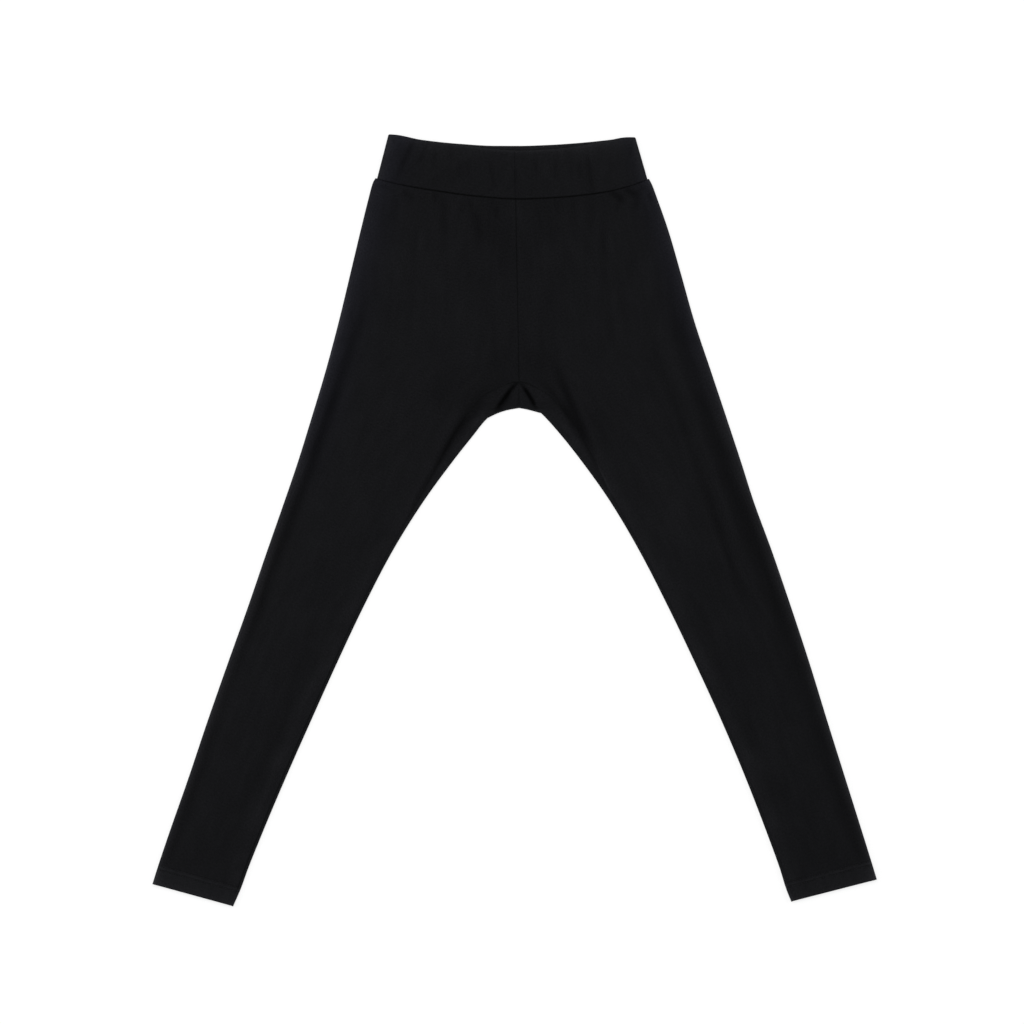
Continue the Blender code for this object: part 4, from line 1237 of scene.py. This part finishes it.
def leg_line(leg, row, waist_row):
    """A row's points, from the front's edge round the leg to the flap's edge, with their light."""
    on_hip = row.zone == "hip"
    half_gap = SEAM_GAP / 2
    edge = half_gap if on_hip else half_gap + max(row.inseam - row.inner_roll, NARROWEST_FLAP)
    front = front_part(leg, row, waist_row, edge)
    size = RISE_GROOVE if on_hip else INSEAM_GROOVE
    strength = 1.0 if on_hip else inseam_strength(leg, row, front[0][:1, :2])[0]
    edge_height = front[0][0, 2] + groove(0.0, size, strength)[0]
    parts = [front, outer_part(leg, row, waist_row), back_part(leg, row, waist_row)]
    if on_hip:
        left_out = no_cloth(1 + RECESS_COLUMNS + CLIMB_COLUMNS + FLAP_COLUMNS)
        if row.share >= 1.0:
            sewn = row.place(half_gap)[0] + np.array((0.0, SEAM_GAP))
            left_out[0][:] = (*sewn, edge_height - TUCK)
        parts += [no_cloth(ROLL_STEPS - 1), left_out]
    elif row.zone == "crotch":
        height = row_start_height(leg, row, edge_height) - TUCK
        start = np.array([[*row.place(half_gap)[0], height]])
        parts += [no_cloth(ROLL_STEPS - 1), (start, np.array((TUCK_LIGHT,)), np.zeros(1))]
        parts += [flap_part(leg, row, edge, edge_height)]
    else:
        parts += [inner_part(row), flap_part(leg, row, edge, edge_height)]
    points, light, rim = (np.concatenate([part[i] for part in parts]) for i in range(3))
    if row.zone == "shank":
        # Painted sheen at the hem's edge and corners.
        rim += hem_rim(row, points)
        beyond = STITCH_ROWS[0] + HEM_LIGHT_BEYOND - row.from_hem
        light = light * mix(1.0, HEM_LIGHT[leg.side], fade(beyond / HEM_LIGHT_STEP))
    return points, light * (1.0 + rim)


def hem_rim(row, points):
    """Painted sheen at the hem's edge, most at its corners."""
    strength, reach = HEM_RIM
    rim = np.full(len(points), strength * math.exp(-row.from_hem / reach))
    strength, reach = HEM_CORNER
    for corner in (row.inner, row.outer):
        away = np.linalg.norm(np.nan_to_num(points[:, :2]) - corner, axis=1)
        rim += strength * math.exp(-row.from_hem / reach) * np.exp(-(away / reach) ** 2)
    return rim


def press_stitches(row, points):
    """The rows of thread pull the hem's cloth in a little. Gives how much darker it is painted there,
    as painted shade.
    """
    width, depth = STITCH_GROOVE
    pulls = [math.exp(-((row.from_hem - at) / width) ** 2) for at in STITCH_ROWS]
    sink = depth * sum(pulls)
    middle = 0.5 * np.nanmax(points[:, 2])
    points[:, 2] += np.where(points[:, 2] > middle, -sink, sink)
    return sum(pull * dark for pull, dark in zip(pulls, STITCH_SHADE))


def stitch_wave(points, from_hem):
    """How hard the thread pulls from place to place round the hem, from 0.3 to 1: it scales the
    painted shade along the rows and the ridge's painted dots.
    """
    place = np.nan_to_num(points[:, 0]) + PULL_SLANT * from_hem
    slow = np.sin(place / PULL_LENGTH + 2.0 * np.sin(place / PULL_WANDER))
    mean, slow_size, quick_size = PULL_SIZES
    return mean + slow_size * slow + quick_size * np.sin(place / QUICK_PULL)


def round_hem(row, points):
    """Draw the hem's lowest rows in, so that its edge is a fold. Gives the wall left there."""
    half = 0.5 * CLOTH * HEM_LAYERS
    if row.from_hem >= half:
        return 1.0
    inset = half - math.sqrt(max(half ** 2 - (half - row.from_hem) ** 2, 0.0))
    centre = 0.5 * (np.nanmin(points[:, 2]) + np.nanmax(points[:, 2]))
    points[:, 2] += np.where(points[:, 2] > centre, -inset, inset)
    return max(1.0 - inset / half, HEM_EDGE_WALL)


def to_world(points):
    """Points of the plan with their heights, in millimetres, as points of the world in metres."""
    return (points - (*ORIGIN, 0.0)) * (1.0, -1.0, 1.0) * MM


def new_piece(name, world, faces, material):
    """Object of a mesh, smooth shaded, linked to the scene."""
    mesh = bpy.data.meshes.new(name)
    mesh.from_pydata(world.tolist(), [], faces)
    mesh.shade_smooth()
    mesh.materials.append(material)
    piece = bpy.data.objects.new(name, mesh)
    bpy.context.scene.collection.objects.link(piece)
    return piece


def thicken(piece, layers, group=""):
    """Give a sheet the thickness of so many layers of cloth, inward from its outer face."""
    solidify = piece.modifiers.new("cloth", "SOLIDIFY")
    solidify.thickness = CLOTH * layers * MM
    solidify.offset = -1.0
    solidify.use_even_offset = False
    solidify.use_quality_normals = True
    solidify.vertex_group = group


def sheet_faces(grid, index, turned):
    """Faces between the lines of a grid of numbered points; points in one place are one corner."""
    for line, numbers in zip(grid, index):
        same = (numbers[1:] >= 0) & (numbers[:-1] >= 0)
        same &= np.abs(np.diff(line, axis=0)).max(1) < TINY
        for column in np.flatnonzero(same):
            numbers[column + 1] = numbers[column]
    corners = (index[:-1, :-1], index[:-1, 1:], index[1:, 1:], index[1:, :-1])
    quads = np.stack([corner.ravel() for corner in corners], 1)
    quads = quads[(quads >= 0).all(1)]
    faces = [list(dict.fromkeys(quad)) for quad in quads.tolist()]
    return [face[::-1] if turned else face for face in faces if len(face) > 2]


def sheet_object(name, grid, light, cloth, material, turned=False):
    """Object of an open sheet through a grid of points; nan in the grid is no cloth.

    Gives also which points of the grid are there, and which of those the sheet uses.
    """
    grid, light, cloth = (np.array(values) for values in (grid, light, cloth))
    there = ~np.isnan(grid[:, :, 0])
    index = np.full(there.shape, -1)
    index[there] = np.arange(there.sum())
    faces = sheet_faces(grid, index, turned)
    used = np.unique(np.concatenate([np.array(face) for face in faces]))
    renumber = np.full(there.sum(), -1)
    renumber[used] = np.arange(len(used))
    faces = [[int(renumber[i]) for i in face] for face in faces]
    piece = new_piece(name, to_world(grid[there][used]), faces, material)
    # The shade attribute carries the painted shade and sheen that the cloth material multiplies into
    # its colour.
    shade = piece.data.attributes.new("shade", "FLOAT", "POINT")
    shade.data.foreach_set("value", light[there][used].astype(np.float32))
    weave = piece.data.attributes.new("cloth", "FLOAT_VECTOR", "POINT")
    weave.data.foreach_set("vector", cloth[there][used].astype(np.float32).ravel())
    return piece, there, used


def cloth_places(grid, blue):
    """Place of every point in the knitted cloth, across and along it, and how much bluer it is."""
    grid = np.array(grid)
    step = np.nan_to_num(np.linalg.norm(np.diff(grid, axis=1), axis=2))
    across = np.concatenate((np.zeros((len(grid), 1)), np.cumsum(step, 1)), 1)
    middle = SEAM_MIDDLE_COLUMN
    down = np.linalg.norm(np.diff(grid[:, middle], axis=0), axis=1)
    along = np.concatenate(([0.0], np.cumsum(down)))
    centred = across - across[:, middle:middle + 1]
    return np.stack((centred, np.repeat(along[:, None], grid.shape[1], 1), blue), 2)


def blue_share(inset, most, reach):
    """How much bluer the light is at distances in from a side fold; the fold itself stays grey."""
    grey = FOLD_GREY * np.exp(-inset / FOLD_GREY_REACH)
    return most * np.exp(-(inset / reach) ** 2) * (1.0 - grey)


def leg_blue(leg, row, points):
    """How much bluer the light is on the hip's outer side, on a row's points."""
    most, reach, first, last = BLUE_LEG[leg.side]
    inset = np.linalg.norm(points[:, :2] - row.outer, axis=1)
    return blue_share(inset, most, reach) * (1.0 - ramp(row.outer[1], first, last))


def make_leg(leg, material):
    """One leg's cloth, with the knit's place and its painted shade and sheen on every point."""
    rows = leg_rows(leg)
    grid, light, blue, walls = [], [], [], []
    for row in rows:
        points, shade = leg_line(leg, row, rows[0])
        pressed = press_stitches(row, points)
        wall = round_hem(row, points)
        uneven = stitch_wave(points, row.from_hem)
        between = math.exp(-((row.from_hem - sum(STITCH_ROWS) / 2.0) / RIDGE_WIDTH) ** 2)
        dotted = 1.0 - RIDGE_DOTTED + RIDGE_DOTTED * np.sin(2.0 * math.pi * uneven / RIDGE_DOTS)
        ridge = STITCH_RIDGE[leg.side] * between * dotted
        grid.append(points)
        # Painted shade along the rows of thread and a painted highlight between them.
        light.append(shade * (1.0 - pressed * uneven + ridge))
        blue.append(leg_blue(leg, row, points))
        walls.append(wall * mix(1.0 / HEM_LAYERS, 1.0, row.in_hem))
    name = leg.node + "_cloth"
    cloth = cloth_places(grid, blue)
    piece, there, used = sheet_object(name, grid, light, cloth, material, turned=leg.sign > 0)
    weights = np.repeat(np.array(walls)[:, None], there.shape[1], 1)[there][used].round(4)
    layers = piece.vertex_groups.new(name="layers")
    for weight in np.unique(weights):
        layers.add(np.flatnonzero(weights == weight).tolist(), float(weight), "REPLACE")
    thicken(piece, HEM_LAYERS, layers.name)
    return piece


class BandColumn(NamedTuple):
    """A line up the waistband, and the direction that its cloth faces there."""
    share: float
    outward_x: float
    outward_z: float
    from_seam: float          # distance from the closing seam

    @property
    def front(self):
        """1 on the front, 0 on the back, between them on the side folds."""
        return 0.5 + 0.5 * self.outward_z


def band_columns():
    """Lines round the waistband from the closing seam by way of +X, the back and -X."""
    inside = BAND_TOP_X[1] - BAND_TOP_X[0] - 2.0 * BAND_ROLL
    seam = (BAND_SEAM_X - BAND_TOP_X[0] - BAND_ROLL) / inside
    near = [inset / inside for inset in CLOSING_INSETS]
    half_gap = 0.5 * SEAM_GAP / inside
    left = [seam + half_gap + step for step in near]
    left += spread(left[-1], 1.0, BAND_FRONT_COLUMNS)[1:]
    right = [seam - half_gap - step for step in near]
    right += spread(right[-1], 0.0, BAND_FRONT_COLUMNS)[1:]
    quarter = math.pi / 2
    columns = [BandColumn(s, 0.0, 1.0, (s - left[0]) * inside) for s in left]
    for angle in spread(quarter, -quarter, ROLL_STEPS)[1:-1]:
        columns.append(BandColumn(1.0, math.cos(angle), math.sin(angle), inside))
    columns += [BandColumn(s, 0.0, -1.0, inside) for s in spread(1.0, 0.0, BAND_BACK_COLUMNS)]
    for angle in spread(-quarter, quarter, ROLL_STEPS)[1:-1]:
        columns.append(BandColumn(0.0, -math.cos(angle), math.sin(angle), inside))
    columns += [BandColumn(s, 0.0, 1.0, (right[0] - s) * inside) for s in right[::-1]]
    return columns


def band_edges(column):
    """Levels of the waistband's bottom and top edges in a column."""
    edges = ((WAIST_CURVE, BAND_BOTTOM_X, SEAM_GAP / 2), (TOP_CURVE, BAND_TOP_X, 0.0))
    levels = []
    for curves, ends, gap in edges:
        x = mix(ends[0] + BAND_ROLL, ends[1] - BAND_ROLL, column.share)
        x += BAND_ROLL * column.outward_x
        levels.append(mix(curves["back"](x), curves["front"](x), column.front) - gap)
    return levels


def band_point(column, edges, down, depth):
    """Point of the waistband's cloth in a column, at a depth below its outer face.

    The fourth value is the point's distance in from the side fold.
    """
    level = (edges[0] - down) / (edges[0] - edges[1])
    first = mix(BAND_BOTTOM_X[0], BAND_TOP_X[0], level) + BAND_ROLL
    last = mix(BAND_BOTTOM_X[1], BAND_TOP_X[1], level) - BAND_ROLL
    x = mix(first, last, column.share)
    from_side = min(x - first, last - x)
    half = 0.5 * mix(2.0 * BAND_ROLL, BAND_HEIGHT, fade(from_side / BAND_BLEND))
    return (
        x + (BAND_ROLL - depth) * column.outward_x,
        down,
        half + (half - depth) * column.outward_z,
        from_side,
    )


def band_lines(edges):
    """Lines round the waistband, each as the level and the depth of its points in every column.

    They run up the outer layer, over the fold at the top and down the inner layer.
    """
    top_roll = BAND_WALL / 2
    levels = [inset / BAND_SPACING_HEIGHT for inset in WAIST_INSETS]
    levels += spread(levels[-1], 1.0, round(BAND_SPACING_HEIGHT / BAND_STEP))[1:]
    lines = [[(mix(low, top + top_roll, level), 0.0) for low, top in edges] for level in levels]
    for angle in spread(0.0, math.pi, TOP_FOLD_STEPS)[1:]:
        depth = top_roll * (1.0 - math.cos(angle))
        rise = top_roll * (1.0 - math.sin(angle))
        lines.append([(top + rise, depth) for low, top in edges])
    for level in spread(1.0, 0.0, BAND_INSIDE_ROWS)[1:]:
        lines.append([(mix(low, top + top_roll, level), BAND_WALL) for low, top in edges])
    return lines


def by_side(x, looks):
    """Each value of the right and left looks, as the side that x lies on has it."""
    return [np.where(x < 0.0, right, left) for right, left in zip(looks["right"], looks["left"])]


def band_painted_sheen(x, from_side, from_top, outer):
    """How much lighter the waistband is painted along its top edge and its side folds, as painted
    sheen.
    """
    at_side = fade(np.abs(x) / TOP_LIGHT_SIDE_X)
    look = TopLight(*(mix(*pair, at_side) for pair in zip(TOP_LIGHT_MIDDLE, TOP_LIGHT_SIDE)))
    below_top = np.maximum(from_top, 0.0)
    top_light = look.broad * np.exp(-below_top / look.broad_reach)
    top_light = top_light + look.narrow * np.exp(-below_top / look.narrow_reach)
    top_light = top_light * mix(INNER_PAINTED_SHEEN, 1.0, outer)
    strength, reach = by_side(x, SIDE_LIGHT)
    side_light = strength * np.exp(-np.maximum(from_side, 0.0) / reach) * outer
    both = CORNER_PAINTED_SHEEN * np.minimum(top_light, side_light)
    return 1.0 + np.maximum(top_light, side_light) + both


def band_cloth(columns, edges, line):
    """One line round the waistband: its points, their light and how much bluer they are."""
    points = np.array([
        band_point(column, edge, down, depth)
        for column, edge, (down, depth) in zip(columns, edges, line)
    ])
    from_side, points = points[:, 3], points[:, :3]
    (low, top), (down, inside) = np.array(edges).T, np.array(line).T
    facing = np.array([column.outward_z for column in columns])
    outer = np.clip(1.0 - inside / (BAND_WALL / 2), 0.0, 1.0)
    front = (facing > 0.5) * outer
    depth, shade = creases_at(points[:, :2], BAND_CREASES)
    points[:, 2] -= depth * front * fade((down - top) / BAND_CREASE_FADE)
    sink, dark = groove(low - down, WAIST_GROOVE, waist_strength(from_side))
    points[:, 2] -= sink * facing * outer
    # Painted shade in the creases and the seam grooves, then painted light on the inner layer and the
    # edges.
    light = (1.0 - shade * front) * (1.0 - dark * outer)
    sink, dark = groove(np.array([column.from_seam for column in columns]), CLOSING_GROOVE)
    points[:, 2] -= sink * front
    light = light * (1.0 - dark * front)
    light = mix(INSIDE_LIGHT, light, np.clip(INSIDE_LIGHT_FROM - inside / BAND_WALL, 0.0, 1.0))
    light = light * band_painted_sheen(points[:, 0], from_side, down - top, outer)
    blue = blue_share(np.maximum(from_side, 0.0), *by_side(points[:, 0], BLUE_BAND))
    return points, light, blue


def make_waistband(material):
    """The waistband, one strip folded double at the top."""
    columns = band_columns()
    edges = [band_edges(column) for column in columns]
    grid, light, cloth = [], [], []
    along = 0.0
    for line in band_lines(edges):
        points, lit, blue = band_cloth(columns, edges, line)
        if grid:
            along += np.median(np.linalg.norm(points - grid[-1], axis=1))
        run = np.linalg.norm(np.diff(points, axis=0), axis=1)
        across = np.concatenate(([0.0], np.cumsum(run)))
        grid.append(points)
        light.append(lit)
        cloth.append(np.column_stack((across, np.full(len(points), along), blue)))
    piece, _, _ = sheet_object("waistband_cloth", grid, light, cloth, material)
    thicken(piece, 1)
    return piece


def stitch_ring(line, reached, at, ring):
    """Points of one ring of a stitch, at a distance along the line that its row follows."""
    def place(where):
        return np.array([np.interp(where, reached, line[:, axis]) for axis in range(3)])

    middle = place(at)
    tangent = unit(place(at + TANGENT_STEP) - place(at - TANGENT_STEP) + TINY)
    away = middle - (*middle[:2], 0.5 * line[:, 2].max())
    normal = away - tangent * (away @ tangent)
    if np.linalg.norm(normal) <= FLATTEST_NORMAL:
        normal = np.cross(tangent, (0.0, 1.0, 0.0))
    normal = unit(normal)
    side = np.cross(tangent, normal)
    points = []
    for turn in range(THREAD_SIDES):
        angle = 2.0 * math.pi * turn / THREAD_SIDES
        spoke = math.cos(angle) * normal + math.sin(angle) * side
        points.append(middle + normal * ring.lift + spoke * THREAD_RADIUS * ring.size)
    return points


def stitch_faces(first):
    """Faces of a stitch whose points begin at a number."""
    last = first + (len(STITCH_RINGS) - 1) * THREAD_SIDES
    faces = []
    for start in range(first, last, THREAD_SIDES):
        for turn in range(THREAD_SIDES):
            a = start + turn
            b = start + (turn + 1) % THREAD_SIDES
            faces.append((a, b, b + THREAD_SIDES, a + THREAD_SIDES))
    faces.append(tuple(first + turn for turn in range(THREAD_SIDES))[::-1])
    faces.append(tuple(last + turn for turn in range(THREAD_SIDES)))
    return faces


def make_stitches(leg, material):
    """Both rows of stitches round a leg's hem, each stitch a short length of thread."""
    waist_row = leg_rows(leg)[0]
    points, faces = [], []
    chance = np.random.RandomState(STITCH_SEED + leg.sign)
    for from_hem in STITCH_ROWS:
        row = shank_row(leg, from_hem)
        line, _ = leg_line(leg, row, waist_row)
        press_stitches(row, line)
        reached = np.cumsum(np.linalg.norm(np.diff(line, axis=0), axis=1))
        reached = np.concatenate(([0.0], reached))
        count = int(reached[-1] / STITCH_PITCH)
        for number in range(count):
            start = (number + STITCH_GAP + STITCH_GAP_MORE * chance.rand()) * reached[-1] / count
            faces += stitch_faces(len(points))
            for ring in STITCH_RINGS:
                at = min(start + ring.share * STITCH_LENGTH, reached[-1])
                points += stitch_ring(line, reached, at, ring)
    world = to_world(np.array(points))
    world[:, 2] = np.maximum(world[:, 2], THREAD_LOWEST * MM)
    return new_piece(leg.node + "_hem_stitches", world, faces, material)


class Graph:
    """Short way to add and join shader nodes."""

    def __init__(self, name):
        self.material = bpy.data.materials.new(name)
        self.material.use_nodes = True
        self.tree = self.material.node_tree

    def join(self, source, target):
        """Feed a socket or a number into a socket."""
        if isinstance(source, (int, float, tuple)):
            target.default_value = source
        else:
            self.tree.links.new(source, target)

    def result(self, kind, inputs, output=0, **settings):
        """Output of a new node, whose inputs and output are given by name or number."""
        node = self.tree.nodes.new(kind)
        for key, value in settings.items():
            setattr(node, key, value)
        for key, source in inputs.items():
            self.join(source, node.inputs[key])
        return node.outputs[output]

    def math(self, operation, *values):
        """Result of a Math node."""
        return self.result("ShaderNodeMath", dict(enumerate(values)), operation=operation)

    def scaled(self, vector, scale):
        """A vector or a colour multiplied by three numbers."""
        return self.result("ShaderNodeVectorMath", {0: vector, 1: scale}, operation="MULTIPLY")

    def toned(self, colour, tone):
        """A colour made lighter or darker by a tone."""
        return self.result("ShaderNodeVectorMath", {0: colour, "Scale": tone}, operation="SCALE")

    def varied(self, noise, amount):
        """A noise turned into a tone that varies round 1 by an amount."""
        return self.math("MULTIPLY_ADD", noise, amount, 1.0 - amount / 2)

    def noise(self, vector, scale, detail, roughness=0.5):
        """Value of a noise texture."""
        inputs = {"Vector": vector, "Scale": scale, "Detail": detail, "Roughness": roughness}
        return self.result("ShaderNodeTexNoise", inputs, "Fac")

    def bump(self, height, strength, distance):
        """Normal of a surface with a relief, whose distance is in millimetres."""
        inputs = {"Strength": strength, "Distance": distance * MM, "Height": height}
        return self.result("ShaderNodeBump", inputs)

    def finish(self, inputs):
        """Feed the shader's inputs, by name. Gives the material."""
        shader = self.tree.nodes["Principled BSDF"]
        for name, source in inputs.items():
            self.join(source, shader.inputs[name])
        return self.material


def mottle(graph, place, look):
    """Noise on the cloth, of a mottling's size."""
    vector = graph.scaled(place, (1.0 / look.across, 1.0 / look.along, 0.0))
    return graph.noise(vector, look.scale, 2.0, look.roughness)


def knit_relief(graph, across, along, grain):
    """Height of the wales and courses, with the grain on them."""
    wale = graph.math("PINGPONG", across, HALF_WALE)
    phase = graph.math("MULTIPLY_ADD", wale, COURSE_SLANT, along)
    course = graph.math("SINE", graph.math("MULTIPLY", phase, 2.0 * math.pi / COURSE))
    ribs = graph.math("MULTIPLY", wale, WALE_RELIEF)
    knit = graph.math("MULTIPLY_ADD", course, COURSE_RELIEF, ribs)
    return graph.math("MULTIPLY_ADD", grain, GRAIN_RELIEF, knit)


def cloth_material(name):
    """Matt black single jersey: fine wales and courses, grain, soft streaks along the cloth."""
    graph = Graph(name)
    place = graph.result("ShaderNodeAttribute", {}, "Vector", attribute_name="cloth")
    shade = graph.result("ShaderNodeAttribute", {}, "Fac", attribute_name="shade")
    across, along, bluer = (graph.result("ShaderNodeSeparateXYZ", {0: place}, axis) for axis in "XYZ")
    grain, streaks, patches = (mottle(graph, place, look) for look in (GRAIN, STREAKS, PATCHES))
    tone = graph.varied(grain, GRAIN.varies)
    tone = graph.math("MULTIPLY", tone, graph.varied(streaks, STREAKS.varies))
    tone = graph.math("MULTIPLY", tone, graph.varied(patches, PATCHES.varies))
    # Painted shade and sheen: the shade attribute darkens or lightens the colour.
    tone = graph.math("MULTIPLY", tone, shade)
    tint = graph.result("ShaderNodeCombineXYZ", {0: 1.0, 1: 1.0, 2: graph.math("ADD", bluer, 1.0)})
    relief = knit_relief(graph, across, along, grain)
    return graph.finish({
        "Base Color": graph.scaled(graph.toned(CLOTH_COLOUR, tone), tint),
        "Roughness": graph.math("MULTIPLY_ADD", grain, ROUGHER_GRAIN, CLOTH_ROUGHNESS),
        "Normal": graph.bump(relief, *KNIT_BUMP),
        "Metallic": 0.0,
        "Specular IOR Level": 0.015,
        "Sheen Weight": 0.02,
        "Sheen Roughness": 0.45,
    })


def thread_material(name):
    """Twisted polyester thread, a little shinier than the cloth."""
    graph = Graph(name)
    place = graph.result("ShaderNodeTexCoord", {}, "Object")
    twist = graph.noise(place, THREAD_TWIST, 1.0)
    return graph.finish({
        "Base Color": graph.toned(THREAD_COLOUR, graph.varied(twist, THREAD_VARIES)),
        "Roughness": 0.6,
        "Normal": graph.bump(twist, *THREAD_BUMP),
        "Specular IOR Level": 0.15,
    })


def floor_material():
    """Plain white paper, lit from within so that it stays white beside black cloth."""
    graph = Graph("floor_paper")
    place = graph.result("ShaderNodeTexCoord", {}, "Object")
    tone = graph.math("MULTIPLY_ADD", graph.noise(place, FLOOR_PATCHES, 2.0), FLOOR_VARIES, FLOOR_TONE)
    return graph.finish({
        "Base Color": graph.toned((1.0, 1.0, 1.0), tone),
        "Emission Color": (1.0, 1.0, 1.0, 1.0),
        "Emission Strength": FLOOR_GLOW,
        "Roughness": 0.9,
        "Specular IOR Level": 0.1,
    })


def make_floor():
    """Pale floor that the leggings lie on."""
    corners = np.array(((-1.0, -1.0), (1.0, -1.0), (1.0, 1.0), (-1.0, 1.0))) * FLOOR_SIZE / 2
    corners = np.column_stack((corners, np.full(4, -FLOOR_DROP * MM)))
    new_piece("floor", corners, [(0, 1, 2, 3)], floor_material())


def add_softbox(box):
    """Square soft light that points at the leggings."""
    light = bpy.data.lights.new(box.name, "AREA")
    light.shape = "SQUARE"
    light.size = box.size
    light.energy = box.watts
    lamp = bpy.data.objects.new(box.name, light)
    lamp.location = box.place
    x, y, z = box.place
    lamp.rotation_euler = (math.atan2(math.hypot(x, y), z), 0.0, math.atan2(-y, -x) - math.pi / 2)
    bpy.context.scene.collection.objects.link(lamp)


def make_studio():
    """World light, soft lamps and the camera."""
    scene = bpy.context.scene
    world = bpy.data.worlds.new("studio")
    world.use_nodes = True
    back = world.node_tree.nodes["Background"]
    back.inputs["Color"].default_value = (1.0, 1.0, 1.0, 1.0)
    back.inputs["Strength"].default_value = WORLD_LIGHT
    scene.world = world
    for box in SOFTBOXES:
        add_softbox(box)
    camera = bpy.data.cameras.new("camera")
    camera.sensor_width = SENSOR
    camera.lens = SENSOR * CAMERA_HEIGHT / (FRAME_PIXELS * PIXEL * MM)
    camera.clip_end = CAMERA_REACH
    holder = bpy.data.objects.new("camera", camera)
    holder.location = (FRAME_CENTRE[0] * MM, FRAME_CENTRE[1] * MM, CAMERA_HEIGHT + PANEL_LEVEL)
    scene.collection.objects.link(holder)
    scene.camera = holder
    scene.view_settings.view_transform = "Standard"


def main():
    """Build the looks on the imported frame."""
    for leg in LEGS:
        cloth = make_leg(leg, cloth_material(leg.node + "_jersey"))
        thread = make_stitches(leg, thread_material(leg.node + "_thread"))
        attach(cloth, "root")
        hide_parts(leg.node)
        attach(thread, "root")
    band = make_waistband(cloth_material("waistband_jersey"))
    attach(band, "root")
    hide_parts("waistband")
    make_floor()
    make_studio()


main()
